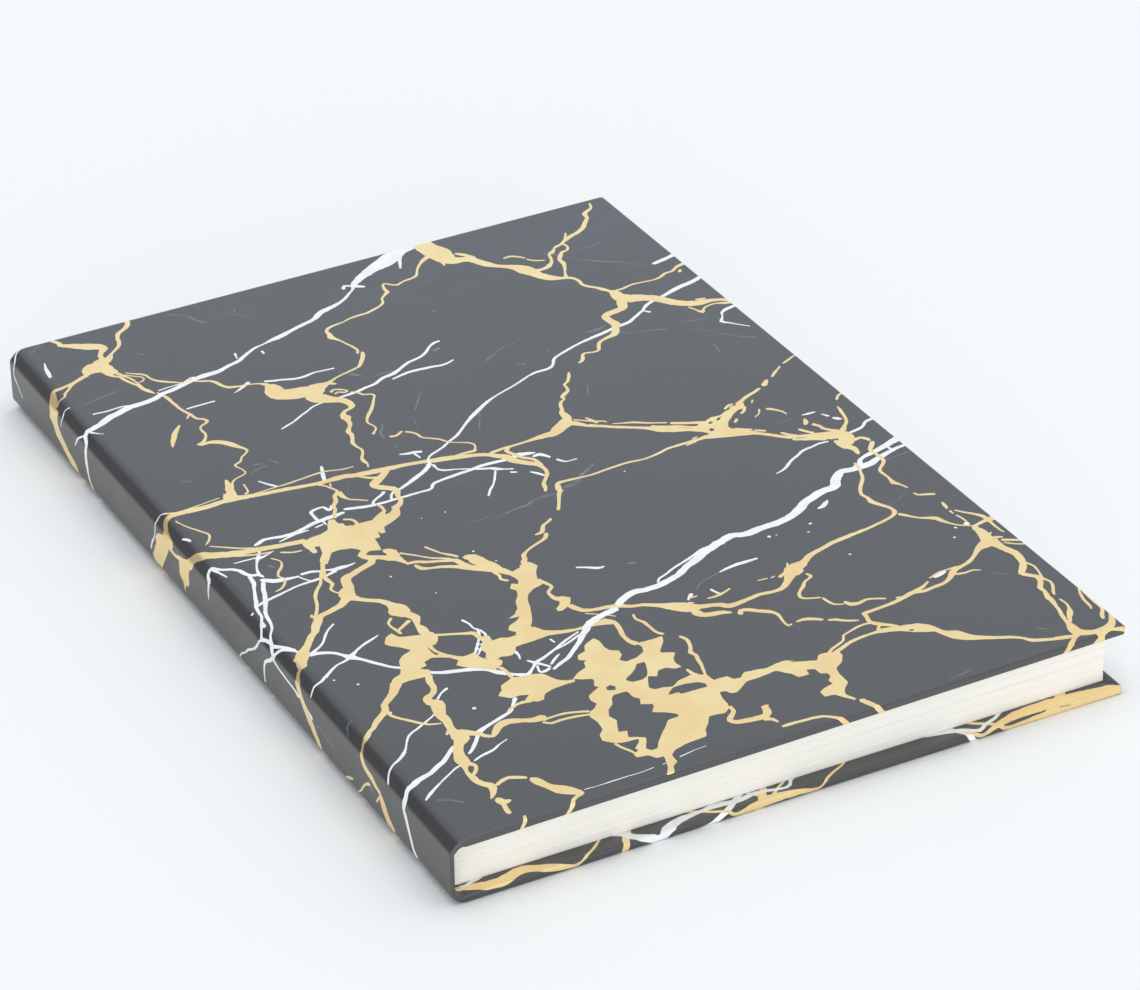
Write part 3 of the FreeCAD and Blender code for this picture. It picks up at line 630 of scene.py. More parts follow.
ladder b: 34.6 -45.4 .5, 34.8 -47.6 .5, 33.4 -49.6 .5, 31.6 -51.6 .5, 30.2 -53.2 .3;
ladder rung a: 33.4 -47.6 .4, 34 -48.4 .4;
ladder rung b: 32 -49.8 .4, 32.8 -50.4 .4;
ladder rung c: 31 -51.2 .4, 31.6 -51.8 .4;
ladder top: 33.2 -40.4 .6, 33.8 -42.4 .5, 33.8 -44 .4, 34.3 -45 .6;
tail line a: 29.4 -70.4 .9, 28 -72.2 .7, 26.8 -73.8 .7, 25 -74.6 .8, 22.6 -75.4 .8, 20 -76.4 .9, 18.2
-77.2 1.2, 17.2 -78.4 .8, 16 -80 .8, 14.6 -81.6 .8, 13.2 -82.8 .5;
wide tail: -13.6 -93.6 .8, -12.6 -92 .8, -11 -91 1, -9 -90 1.1, -7 -89 1.2, -5.6 -88.2 1.2, -4.2 -88.4
1.4, -3 -87.8 1.1, -2 -87.1 1.2, -.6 -86.9 1.4, 1 -86 1.3, 4 -85 1, 6 -83.8 1.1, 8 -82.6 1.1, 10 -80.8 .9,
11.6 -79.4 .8, 13 -79 .6;
tail thread: -.6 -92.4 .4, 1 -91 .7, 3 -89.6 .5, 5 -88.2 .4, 7 -87 .4, 9 -85.8 .5, 10.6 -85.4 .3;
tail thread b: 13 -85.4 .4, 15 -84.6 .6, 17.6 -84 .6, 19.4 -83 .4, 21.6 -82 .2;
tail thread c: -4 -81.6 .4, -3 -80.4 .5, -1.6 -79.4 .5, -.4 -78.8 .5, 1 -78 .6, 2.6 -76.6 .7, 3.8 -75 .4,
6 -71.8 .5, 8.6 -70.4 .5, 10.4 -69.4 .5, 12.6 -68.2 .4, 14 -67.2 .3;
edge thread: 26.4 -104 .2, 29 -104.2 .15, 32 -104.2 .3, 35 -104.2 .25, 38 -104.3 .2, 41 -104.1 .15;
edge thread on: 43 -104 .2, 45 -103.8 .25;
edge thread b: 47 -103.4 .25, 49.4 -103 .2, 50.6 -102.8 .15, 53 -102.7 .15;
leg fleck: 16.4 -63.2 .5, 17.8 -61.8 .4, 19.6 -60.8 .7;
right thread: 115.4 -22.4 .3, 117.4 -21.8 .5, 119.2 -20.6 .7, 121 -19.2 .6, 123 -18.2 .6, 125 -17 .7,
127.4 -16.6 .6, 129.4 -16.2 .6, 131.4 -16.4 .5;
right thread on: 137 -15.6 .7, 139.4 -15.2 .8, 141 -14.6 .7, 142.6 -13.2 .7, 144.7 -12.8 .9;
right fleck a: 132.4 -4.1 .3, 134 -4.2 .7, 135.4 -4.3 .5;
right fleck b: 136.2 -5.8 .4, 137 -7.2 .7;
right fleck c: 137.6 -8.4 .9, 138.2 -9.2 1.1, 138.8 -9.6 .4;
right fleck d: 122 -73.2 .8, 123.6 -72.9 1, 125 -72.6 .5;
spine top: -1.2 107 .3, -2.6 106.2 .5, -4 104.8 .4, -6 105.3 .4, -7.4 104.8 .6, -8.4 103.4 .4, -10.4 101
.3;
spine thin: -6.4 78.2 .3, -5 77.9 .3, -4 77.3 .4, -2.6 78.2 .3, -1.2 77.8 .3;
spine branch: -3 66.8 .5, -4 68 .5, -5.2 69.2 .5, -6.4 70 .4, -7.2 70.6 .2;
spine branch low: -1.4 65.8 .5, -.4 64.2 .3, .6 63.4 .2;
spine over gold: -11.5 30.4 .6, -9.6 29.6 .6, -8 28.4 .4, -6 27.6 .4, -4 27.3 .4, -2 27.5 .3, -.6 26.4 .4;
hinge short: -.5 22.6 .3, 0 20.8 .3, .8 19.2 .3
""")
GOLD_VEINS = routes("""
head left arm: 6.5 107.5 .9, 7.7 105.4 1.1, 7.6 104.2 1.3, 9.6 102.8 1.8, 12 101 2.6, 14.5 99.6 2.6, 15.3
98 1.9, 14.2 96.8 1.2, 13.3 95.2 1.1, 13.2 93.8 1.6, 11.5 92.6 2.4;
head left patch: 7.5 89.2 1.6, 8.8 90.5 4, 10.5 90.8 4.6, 12 90 3.6, 12.3 88 3, 13.2 87.2 2.6;
head right arm: 24.7 107.5 1.2, 24.2 105.6 1.2, 22.5 104 1.1, 20.8 102.8 1, 19.8 101 .9, 19.4 99 .9, 18.5
97.4 .8, 17 96 .7, 15.8 95 .7, 14.8 93.6 1.6, 13.2 92.4 2.2, 11.8 91.5 2.6;
to the spine: 7.5 88.8 1.2, 5.5 88 1.1, 4 87.3 1, 2 86.6 .8, 0 86.1 1, -1.2 86.2 1.2, -2 85.8 1.4, -3 84
2.4, -3.8 82.6 3;
to the spine, low: 4 87.2 .9, 2.8 86.3 .7, 1.6 85 .6, .2 83.6 .6, -.5 82.3 .5, -2 82.2 .5, -3 81.6 1;
strand a: 11.5 87.3 1.2, 12.2 85.6 .8, 13.4 84.6 .7, 13.7 83 .8, 14.4 81 .7, 15.3 79 .8, 15.7 77 1, 16.3
75.6 1, 17 74 .4;
strand b: 13.5 86.2 1, 14.2 84.6 .7, 15.2 82.5 .5, 15.6 80.2 .4, 15.8 78.5 .4;
strand on: 17.6 74 .4, 18.2 72.5 .6, 18.6 70.6 .9, 18.7 68.8 .7, 18.9 67 .8, 19 65.4 .7, 19.4 63.5 .7, 20
61.5 .8, 20.4 59.5 .7, 21.4 58.6 .7, 22 57.4 .8, 21.2 56.6 .6, 19.8 55.9 .5, 19.3 54.6 .5, 19.4 53 .6,
19.1 51.6 .6, 18.2 50.2 .8, 17.2 49.4 .8, 16.1 49.1 .6;
strand twig: 19.8 61.8 .6, 18.6 60.4 .4;
strand low: 16.6 48.7 1, 18.5 48.8 1.2, 20 48.2 1.5, 21.4 47 1.6, 22.3 45.6 1.6, 23 44.3 1.2, 23.8 43 .7,
24.2 41.8 .6, 23.4 40.7 .5, 22 39.7 .5, 21 38.2 .5, 19.7 37.6 .6, 19.3 36.8 .4, 19.9 35.2 .3, 20.1 33.6
.4, 19.2 32.8 .4, 17.4 32.2 .4, 16 31.2 .5, 15.3 29.6 .6, 14.2 27.5 .8;
down right: 15.2 85.6 .3, 16 84.7 .5, 17.5 83.6 .6, 18.6 82.3 .6, 18.8 80.6 .5, 19.6 79 .7, 21 77.6 .8,
22.6 76.4 .6, 24.3 75.2 .4, 26.5 74.6 .4, 28 73.8 .7, 29.8 72.8 .8, 30.6 71.2 1, 31 69.8 .8, 32 68.4 1, 34
67.7 .7, 36 67.4 .5, 37.6 66.9 .5, 38.8 66.2 .7, 39.6 65.2 1.4;
down right loop: 14.5 84.8 .4, 16 83.4 .4, 17.4 82.2 .4, 17.6 81 .4, 16.6 80.2 .4, 15.8 80.3 .3;
middle patch: 39.8 64.5 2.4, 40 62.5 4.2, 39.5 60.5 4, 42.5 58.8 4.6, 45 58.4 4.6, 47 57.6 4.8, 48.4 58.6
4, 50 59 2.2, 52 59.6 .8, 54 60.6 .5, 56.5 61.4 .6, 60 62.4 .7, 61 63.4 .8, 62.2 65 1, 63.2 66.6 1, 63.7
68 .6;
middle nib: 51.5 59 1, 52.6 58.2 .7;
middle lower: 46 56 4, 46.5 54.5 4.2, 47.5 53.5 3.6, 49 52.3 2.6, 50.6 51.2 2.2, 51.4 49.5 1.7, 51.5 47.8
1.5, 50.5 46.8 1, 49 46.3 .9, 48.1 45 1.4, 48.2 43.7 2.2, 48 42.4 1.1, 47.8 41 1, 47 39.6 .8, 46 38.2 1.2,
46 36.6 1, 45.4 34.8 .8, 44.7 33.2 .8, 44.8 31.4 .6, 45.2 29.8 .6, 44.6 28.2 .6, 43.6 26.6 .7, 43.5 25 .9,
43.6 23.8 .5, 43.2 22.6 .3;
curl: 62.6 68 .6, 63.2 69.4 .6, 63 71 .6, 62.4 73 .5, 61.8 75 .5, 61.2 76.4 .9, 60.6 77.6 1.5, 61 78.8
1.1, 60.9 80.2 .8, 61.8 81.5 .8, 63.5 82.1 .7, 66.2 82.6 .4, 68 83.3 .6, 71 83.6 .7, 72.5 83.7 .7, 74.8
84.5 .7, 76.8 85.4 .6, 77.8 86.6 .6, 78.2 88 .5, 79.4 89.2 .7, 80.6 90.2 1, 80.7 91.4 .8, 81 93.2 .6, 81.8
94.2 .6, 82.8 93.2 .6, 84 92.2 .7, 86 93 .6, 88.5 93.4 .7, 90 94.3 .6, 90.8 95.8 .5, 92.2 97.8 .6, 93.6
99.2 .9, 95.2 100.4 1.2, 97.5 101.4 1.5;
head band: 97.6 107.5 4.6, 97.8 104.5 5, 98.8 101.5 5.8, 99.2 98.5 4.8, 100.2 96.3 3.6, 102.5 95.6 2.2,
104 94.6 2.4, 105 92.5 2.2, 106 90.8 2.2, 107.5 89 1.4, 109.3 87.6 1.6, 111 86 2.8, 112.3 83.8 3.8, 113.2
81.5 2.8, 114 79.5 2.6, 115.2 77.9 2.4, 117 76.5 1.4, 118.6 75.9 1.1, 119.8 74.8 .9, 120.2 73 .9, 120 71.3
.9, 120.8 69.8 .9, 122 68.5 .9, 123 66.9 1.2, 123.8 65.5 1, 124.3 64.3 2.4, 124.4 62 3.4, 125.2 60.5 4.2;
head band spike: 98.2 98 1.6, 97.4 95.2 .4;
head band side: 102.2 99 .8, 103.6 97.4 1.2, 105 95.2 1;
fork: 113.5 82.5 1.8, 115.5 82.3 1, 117.2 82.7 1.3, 119 84.2 .9, 119.8 86 .7, 120.4 88 .7, 121.4 88.4 1.2,
122.6 89.8 .5, 123.4 90.4 .9, 125 91 .7, 126.5 92 1, 128.5 93.2 1.2, 131 94.2 1.1, 133 95.5 1.1, 134.8
97.6 1, 136.4 99.6 .9, 136.8 101.6 1.2, 138.2 102.6 .9, 139.6 103.6 .7, 140.3 105.6 .5;
fork low: 118.6 76.4 1, 119.2 78 .5, 120.4 80.4 .7, 121.2 82.6 1.1, 121.2 84.4 .9, 122.2 86 1, 123.4 87.4
.8, 125 87.8 .7, 125.8 89.4 .6, 125.4 91 .6;
fork twig: 127 92.6 .8, 127.8 94 .6, 128.5 95.3 .4;
fork dash a: 110.6 91.4 .5, 112.3 91.5 .8, 113.6 90.6 .7, 114.8 89.2 .5;
fork dash b: 115 88.4 .5, 116 87 .7, 118.2 85.9 .4;
right head: 124.5 65 .6, 127 65.1 .6, 129.5 65.7 .6, 132 65.5 .5, 135 65.2 .5, 136.8 65.6 .7, 138.5 66.6
.8, 140.5 66.8 .7, 142.3 68 .9, 144.7 68.8 1;
right head twig: 141.8 65.7 .9, 142.4 66.5 .5;
fork left: 124 60 2.6, 123.2 58.6 2.2, 122.6 57.2 2, 121 56.6 1.8, 119 56.4 1.8, 117.3 55.6 1.8, 117.2 54
1.8, 117.4 52.6 2, 117.6 51.2 2.2, 116.8 49.8 1.7, 116 48.4 1.7, 115 47.3 1.6, 113.2 46.8 .9, 111.5 46.3
.8, 110.2 45.4 .8, 109.4 44 .8, 108.8 42.8 .7, 107.4 42.5 .6, 105.5 43.1 .7, 104.6 42.5 .7, 104 41.2 1,
103.2 40.3 .8, 102.3 39.9 .5;
fork right: 125.5 60 3.4, 127 59.8 3.2, 129 58.8 2.8, 131 57.2 2.6, 132.5 55.2 2.6, 134 53.2 2.4, 136 51.6
2.4, 138 50.6 2.2, 139.6 50.6 2, 141.5 50.2 1.3, 143.4 49.4 1.2, 144.7 48.4 1.4;
fork right top: 138.5 52.2 .8, 140.5 51.8 .6;
fork right loop: 135.3 50 .5, 136 48.4 .5, 136.9 46.4 1, 137.4 47.2 .6, 138.6 48.2 .5, 141 48.6 .5, 143
47.8 1, 144.7 47.2 1;
middle dashes: 98.4 37.2 .5, 97.4 35.4 .7, 96.2 33.8 .7, 95 33 .6, 94.9 31.6 .6, 94.4 30.2 .7, 93 29.2 1,
92.1 28.4 .9, 92 27.2 .5, 91 26.8 .6, 90.1 25.4 .8, 89.6 23.8 .8, 88.9 22.6 1.3, 88.9 21 1.7, 88.6 19.5 2;
knot: 88.2 18.6 3.2, 86.5 17.6 3, 84.5 16.4 2.8, 83 15.6 2.2, 80 15.6 1.6, 77 15.4 .8, 74 15.3 .7, 71 15.3
.9, 68 14.9 1;
knot strand a: 88.8 17.4 1.8, 90.4 15.6 1.2, 91.2 14.6 .9, 93.5 13.2 1, 95.5 11.6 1.1, 97.6 10.2 1, 99.4 9
1, 101.4 7.6 1.2, 103 6 1.8, 104.6 5 2, 106.6 3.8 1.8, 108.6 2.6 1.2, 110.2 1.2 .9, 111.6 0 1, 113 -1.2 3;
knot strand b: 89.6 18.6 .4, 91.5 17 .5, 93 15.8 .6, 94.6 15 .5, 95.2 14.2 .4;
knot strand c: 92.2 18 .4, 92.8 16.6 .7, 93.3 15 .8;
knot strand d: 91.5 15 .6, 92.6 14.3 .5;
knot strand e: 96 12.9 .4, 98 12 .5, 100 11.2 .8, 102 9.8 .7, 104 8.6 .5, 106 7.6 .6;
knot strand f: 106.8 6.9 .9, 109 5.6 1, 111.4 4.4 1, 113 3.6 1.2;
knot strand g: 102.6 7.8 .8, 105 6.2 .8, 107.4 5 .9, 109.4 3.4 .7, 111 2.2 2, 112.2 1.8 2.6;
right dash a: 144.2 19.2 .4, 142.5 18.4 .6, 140.4 17.4 .5;
right dash b: 139 16.6 .5, 138.2 15.8 .5;
right dash c: 137 15 .5, 136 14 .5;
left leaf: 11.1 50.8 .3, 11.6 52 .8, 12.6 53.8 1.2, 13.8 55.8 1.2, 15 57.4 .9, 16.1 58.6 .4;
horn: 15.2 32.6 .6, 14.8 31 1.2, 14.3 29 1.6, 14 27.5 2, 13.4 26.4 2.8, 12.6 25.4 2.6;
horn twig: 12.4 27.6 .5, 13 26.8 .6;
horn hook: 17.7 29.2 .4, 17.5 27.4 .4, 17.2 26 .5, 16.3 25.4 .5;
long gold: -3.4 22.4 1, -2.4 24.4 1.4, -1 25.1 1.4, 2 25.2 1.5, 4.5 25 1.5, 8 24.8 1.4, 11 25 1.6, 13.5 25
2.2, 16 24.4 1.6, 18 24 1.4, 21 23.5 1.3, 24.5 23 1.3, 28 22.3 1.2, 31.5 21.8 1.2, 34.5 21.7 1.6, 37 21.7
1.8, 39.5 20.9 1.6, 43 20.4 1.8, 46 20 1.7, 50 19.6 1.3, 54 18.8 1.4, 57 18 1.9, 60 17.3 1.8, 62 16.6 1.5,
65 15.7 1.3, 67 14.6 1.4, 68.6 13.2 1.6, 70 11.8 2, 70.6 10 2, 71.6 8.4 1.4, 73 7 1.6, 74.3 5.6 1.2, 74.7
3.4 .9, 74.2 1.4 .9, 72.8 -.4 .8, 71.6 -2 .9, 71.2 -3.6 .8, 70.6 -4.6 .6;
long gold upper left: -1 26.6 .4, .5 25.8 .6, 3 25.8 .4, 6 26.1 .4, 9 26.5 .3, 11 26.7 .3;
long gold lower left: 3 24.4 .4, 7 24.1 .4, 9.5 24.2 .3;
long gold upper right: 18 24.6 .4, 22 24.8 .4, 26 24.9 .5, 30 25.3 .5, 33.5 25.6 .6, 35.5 25.3 .4, 38 24.5
.4, 40.5 24.4 .4;
long gold strand: 61 17.6 .6, 63.5 17.6 .8, 65.5 17.5 .9;
long gold end a: 71.4 9.8 .6, 72.6 8.2 .8, 74 6.5 1;
long gold end b: 72.4 15.2 .7, 71.2 14 1, 72 12 .9, 72.8 10 .9, 74.6 8 1, 74.8 5 .9;
loop right: 50.2 55.4 .8, 51 56 .5, 52.4 55.4 .6, 53.5 54.2 .5, 52.6 53.8 .6, 51.5 54.6 .5, 50.6 54.2 .5;
loop right on: 53.8 53.2 .4, 55 52.4 .6, 55.6 51 .6, 57.2 50.2 .5, 57.6 49.4 .6, 56.8 48 .5, 55.6 46 .7,
54.2 44 .8, 52.8 42.4 .8, 51.8 41 .6, 51.2 39.4 .5, 51.7 37.8 .4, 51.7 36.4 .5, 50.8 35.3 .5, 50.2 34.6
.8;
curl low a: 52.8 31.7 .8, 54.2 31.5 .7, 55.8 32.5 .6;
curl low b: 56.5 31.9 .6, 57.5 31 .6, 58.2 29.6 .6, 58.3 28.2 .5, 59.5 27 .5, 61 25.8 .6, 61.8 24.6 .6,
62.6 23.3 .4, 64.2 22.2 .4, 65.8 21.2 .5, 66.6 20 .5, 66.2 18.6 .4, 65.5 17.5 .8;
branch 40: 46 19.8 1.6, 44.5 18.2 1.6, 42.8 17 2, 41.2 15.6 2, 41.2 14.4 1.8, 42.6 13.2 1.8, 43.8 12 1.8,
44.1 10.8 1.4, 43.4 9 1, 43.2 7.2 1, 42.2 5.8 1.2, 40.6 4.8 1.8;
branch 40 twig: 39.5 20.6 .8, 41 18.9 .8, 42.6 17.8 1;
drop: 31.2 21.2 .8, 32.2 20 .5, 32.8 18.6 .6, 33.3 17.4 .6, 33 16.2 1, 32 15.4 .9, 31.3 13.4 .9, 30 11.8
.9, 29.8 10.4 .8, 29 9.2 .8, 28.4 7.6 .9;
drop side: 33.5 16.4 1, 33.4 14.6 1.2, 34 12.8 .5, 35.6 11.6 .5, 37.2 10.4 .4;
drop twig: 33.4 20.6 .4, 33 19.4 .4;
left thin: -.5 22.8 .3, 0 20.8 .3, 1 18.6 .4, 2.4 16.2 .5, 3.2 14.2 .5, 2 12 .5, 1 11.1 .3;
low band: -3.6 9.4 2.4, -2.8 9 2.2, -2 8.4 2.2, -1 7.6 2.3, 1 6.4 2.3, 4 5.2 2.2, 9 4.2 1.8, 14 3.2 1.6,
19 2.4 1.6;
low band strand: 1.5 10.1 .4, 4 8.2 .5, 6.5 6.3 .5, 9 5 .5;
low band strand b: 2.5 5.4 .5, 5 3.8 .7, 8 2.6 .6, 10.6 2 .5, 11.8 1.9 .3;
low band dash: 13 .8 .5, 15 -.4 .6, 17 -.7 .4;
star prong: 38 8 .6, 38.5 6.5 .7, 38.2 4.6 .8;
star ring: 28 3.5 .8, 28.6 2.4 .8, 30.4 2.2 .8, 31.3 3.6 .8, 30.9 5.2 .7, 29.6 6 .6;
star tail: 28 -7.4 1.4, 26.6 -8.4 1.6, 27.6 -10 1.8, 29.5 -11 1.6, 31 -12.2 2, 32.3 -13 2, 32.8 -14.4 1.2,
33.2 -15.6 .8;
star tail side: 31.6 -9.2 1.6, 32.4 -10.4 2.4, 32.2 -12 2.6;
net a: 33.2 -16 .8, 35 -16.2 1, 37 -17.4 1, 39 -18.2 .9, 41 -19 1.2, 42.3 -19.8 1.4, 42.8 -21.6 1.6, 43.4
-23 1.6;
net b: 34.4 -17.4 .8, 34.9 -19 1.3, 36.5 -19.8 .8, 39 -20.6 1, 41 -21.8 1.2, 43 -23.2 1.8, 45 -24.8 2, 47
-26.4 2, 48.6 -28 2, 49.6 -29.8 1.4, 50 -31 1.4;
net c: 33.8 -11.6 .6, 35 -12.8 .6, 36.5 -14.4 .5, 37.6 -15.6 .5, 38.6 -16.6 .6, 40.2 -17.6 .6, 41.6 -18.6
.6;
net d: 39.2 -12 .6, 40 -13.8 .5, 41 -15.8 .5, 42.2 -17.2 .8, 43.2 -18.6 .7;
net e: 44.4 -19.6 1.4, 45.6 -20.4 2.6, 46 -22 3.2, 46.8 -23.6 2.6, 47.8 -25.2 2, 48.6 -26.8 1.2;
net f: 46.8 -27.4 .8, 47.2 -29.4 .7, 46.8 -30.6 .7, 47.8 -31.8 .6;
right to body: 74 -4 1, 73.2 -6 1, 72 -8 .8, 70.8 -10.2 .7, 69.4 -12.6 .7;
right to body b: 66.4 -15 .6, 65.2 -15.8 .7, 63.8 -16.6 .8, 63 -17.8 .9, 62.2 -18.8 .9, 60.8 -19 .5;
right to body c: 62.9 -19.6 .9, 62 -21 .9, 60.4 -21.8 .7, 58 -22.8 .6, 56.2 -23.8 .6, 55 -24.8 1, 54.6
-26.2 1.1, 53.6 -27.4 1.2, 54.6 -28 1.2, 53 -29 2.5;
left leg: 28 -10.6 1.4, 27 -12 1.6, 24.5 -13 1.5, 22 -14 1.6, 20.2 -14.8 2, 19.4 -16.4 2.1, 19 -18.4 2.3,
17.8 -19.8 3.4, 17.4 -21 3.4, 16.6 -22 2, 14.5 -23.6 1.6, 12 -24.4 1.4, 9.5 -25.2 1.4, 8.4 -26.6 1.8, 7.2
-28 1.8, 6.3 -29.6 1.6, 5.2 -30.6 1.4, 4 -32 1.5, 3 -33.4 1.5, 1.6 -34.8 2, .4 -36.4 2.8, -.6 -38.6 1.8,
-1 -40 1;
left leg branch: 18 -22 2.4, 19 -23.2 1.4, 20.5 -24.6 1.3, 22 -25.6 1.4, 23 -27 1.5, 23.6 -28.6 2.2, 24
-30 4, 23.8 -32 4.2;
left leg loop: 19 -7 1.2, 18.2 -8 .9, 17.4 -10 .9, 16.6 -12 1, 16.6 -13.8 1, 16.9 -15.4 .8, 15.8 -16.8 .6,
15.8 -18 .5, 16.4 -19 .5;
left leg thin: 18 -8.6 .6, 16.6 -10.4 .5, 15.6 -12.6 .6, 14.6 -14.4 .7, 12.8 -16.4 .8, 11.6 -18.6 .7, 10.8
-21 .7, 9.8 -23 .7, 8.8 -24.6 .8, 8.2 -25.4 .8;
left leg spur: 8 -24.6 .7, 8.3 -23.8 .5;
left small: 10.3 -.4 .4, 11.5 -2.4 .4, 10.6 -4.6 .6, 9.4 -5.8 .6, 8.7 -7.4 .5, 9.4 -8.8 .4, 8.4 -10.8 .6,
7 -12 .5, 5.8 -12.3 .3;
arm up: 123 6.8 1.4, 124.6 7.8 1, 126.6 8.9 .9, 128.6 9.6 .8, 130.4 10.4 .7;
arm up dash a: 131.9 11.1 1.2, 132.8 12 1.1, 133.6 12.8 .7;
arm up dash b: 135.4 13.6 .6, 137 15 .6, 138.6 16.2 .4;
arm up side: 119.6 6.4 .5, 121 7.3 .8, 122 7.4 .6;
arm up low: 123.6 5.2 .8, 122.8 3.8 .7, 121.6 3 .5;
arm up low b: 119.6 1.4 .7, 118.6 .4 .6;
arm up low c: 126.6 6.8 .5, 125.8 5.8 .3;
arm up low d: 125.8 2.6 .5, 124.8 1 .4, 123.4 .2 .3;
hook right: 127.4 2 .9, 128.6 .8 .7, 129.6 -.6 .6, 129.8 -2 .4;
left arm: 111 -1.8 1.2, 108 -2 1, 104.5 -2 .9, 101 -2.1 .7, 98.6 -2.8 .7, 96 -3.3 .6, 94 -3.4 .6, 91.5 -3
.7, 88.5 -3 .7, 85 -3.3 .6, 82 -3.6 .6, 79.6 -3.4 .6, 77 -3.1 .8, 74.4 -3.1 1, 73.6 -4.2 .9, 73.2 -5.6
1.2;
left arm side: 107.4 -1.2 .5, 108.6 -.9 .4;
left arm low: 105 -2.9 .4, 107.5 -2.5 .5;
left arm nib: 73.8 -6.2 .6, 72.6 -6.4 .5;
right low: 116.5 -3 3, 118.6 -4.4 2, 120.4 -6 1.2, 122 -7.6 1.1, 123.6 -9.2 1.1, 125.4 -10.8 1.2, 127.6
-11.6 1.2, 129.4 -12.6 1.8, 131 -13.4 2.6, 133 -14.4 3.2, 135 -14.8 3.6, 135.6 -16.6 3.6, 134.6 -18.6 3.2,
133.8 -20 2.2, 134.6 -21.6 1.6, 134.4 -23.4 1, 134.2 -24 .5;
right low side a: 117.4 -2 .7, 118.6 -3 .7, 120.2 -4 .5;
right low side b: 120.6 -4.6 .6, 121.8 -5.6 .8, 122.4 -6 .5;
right low side c: 124.8 -8.4 .7, 125.8 -9.8 .8, 127 -11 .8;
right low side d: 128.8 -9 .8, 129.6 -10.4 .8, 130.6 -11.8 .8;
right low side e: 125.6 -12 .8, 127.4 -13 1, 129.4 -14 1, 131.4 -15.2 1.2;
prong a: 132 -5.8 .6, 131.6 -7 1.1, 131 -7.8 .8;
prong b: 132.4 -8.6 .9, 133.2 -9.8 .9, 133.4 -11.2 .9, 134.4 -12.6 1, 135.4 -13.6 1.4;
prong c: 136.6 -13.8 1.4, 138 -12.4 .9, 139.2 -11 .8, 139.8 -9.4 .7, 140.2 -7.6 .7, 140.6 -6 .7, 140.8
-4.6 .3;
prong d: 142.2 -2 .6, 143.2 -.8 .6, 144.3 -.2 .5;
ring low: 136.4 -18.6 .9, 138 -18.4 .9, 139 -19.4 1, 139.2 -20.4 .7;
ring low on: 139.4 -21.2 .9, 138.2 -22.6 1.1, 137.2 -24 .9, 137.4 -26 .8, 137.6 -28 .8, 137 -29.6 .8,
135.4 -31 .7, 134.4 -32.4 .7, 134.6 -35 .6, 134.4 -37 1, 134.4 -37.8 1.3, 135.2 -39 .6, 135.8 -40.8 .5;
ring low left: 133 -17 1, 132.8 -19 1, 133.4 -20.4 1.4;
left thin low: 131.6 -27 .8, 131.4 -28.6 .6, 131 -30 .6, 129.8 -33 .8, 128.4 -34.8 .8, 127 -36.6 .8, 126.2
-38.6 .8, 126.6 -40.2 .8, 126.4 -42 1.3, 127.2 -43.6 1, 128.2 -45.4 .9, 128.6 -47 1, 128 -48.4 1, 126
-49.4 .8, 123.4 -50 .8, 120.4 -50.6 .8, 117 -51 1, 114 -51.4 1.1, 111 -51.8 1.1, 108.6 -52.6 1, 106.4
-53.2 1.2, 104.6 -53.8 1.4, 103.2 -54.8 1.4, 101.4 -55.8 2.4, 99.6 -56.4 3.2, 98 -57.6 3, 96.6 -59.2 1.8,
95.2 -60.6 1.3, 93.6 -61.7 1.1, 91.4 -61.9 1, 88.6 -61.4 1, 86 -61.8 1.1, 83 -62.2 1.4, 81 -62 1.6, 80.2
-61 1.4, 78.6 -60.2 1.3, 76.4 -59.6 1.6, 74.6 -59 3, 73 -57.8 3.4, 71.2 -56.4 2.6, 69.6 -55.2 1.4, 68 -54
1.2, 66.6 -53.2 1.1, 64.6 -52.6 1, 62.4 -51.2 1.3, 60 -50.4 1.2, 57.4 -50 1.1, 55.4 -49 1.3, 54.6 -47.6
1.4, 54.2 -46.2 1.2;
lump right: 53 -34.6 1.2, 54.1 -37 .9, 54.2 -38.4 .7, 52.8 -39.6 .7, 52.6 -41 .8, 53 -42.6 1.4, 54.4 -43.8
2.4, 53.2 -45.4 2, 51.6 -46.6 1.4;
band spikes a: 75 -57.2 .8, 75.8 -57.6 .4;
band spikes b: 98.6 -55.4 .6, 99.4 -54 .4;
band spikes c: 95.4 -57.8 .8, 97 -57 .9;
band spikes d: 100.6 -57.8 .8, 99 -58.8 .7;
low branch: 74.4 -60.6 2, 75 -62.2 1.7, 76.6 -63 1.5, 78.6 -63.4 1.4, 80.4 -64.4 .7;
low branch on: 81.8 -65.8 1, 82.4 -64.8 1.1, 83.8 -65.2 1.2, 85.4 -66.6 1.2, 87 -67.8 1.1, 88 -69.4 .8,
87.8 -71.2 .6, 87.6 -73 .5, 87.8 -74.2 .6, 88.6 -74 .4;
low branch end: 89.8 -73.8 .4, 91.4 -73.7 .9, 93 -74.4 1, 94.6 -75.6 .8;
low branch end b: 95.6 -76.4 .6, 97 -77 .9, 97.8 -77.8 .7, 99.4 -78.8 .7, 100.6 -79.4 .4;
curl 99: 100.6 -59.4 .5, 101 -60.4 .8, 100.2 -61.2 .6, 98.8 -61.8 .6, 97.6 -63.2 .8, 96 -64.6 .7, 95.2
-65.8 .7, 95.4 -67 .6, 96.8 -67.8 .5, 98.4 -68.4 .5;
curl 99 on: 98.8 -68.8 .5, 99 -70.4 .7, 99.6 -72 .6, 101.2 -72.8 .4;
curl 99 end: 101.8 -72.2 .7, 102.4 -73.6 1.3, 104 -74 1, 106 -73.6 .7, 107.6 -74.2 .6, 109.4 -75.2 .5;
dash 80: 79 -57.6 .4, 81 -57.7 .7, 83 -57.2 .6, 84.6 -56.6 .4;
dash 76: 76 -55.6 .6, 77.6 -55.8 .4;
dash 91: 91 -56.8 .4, 93 -57 .4;
dash 94: 93.8 -57.2 .4, 94.6 -57 .4;
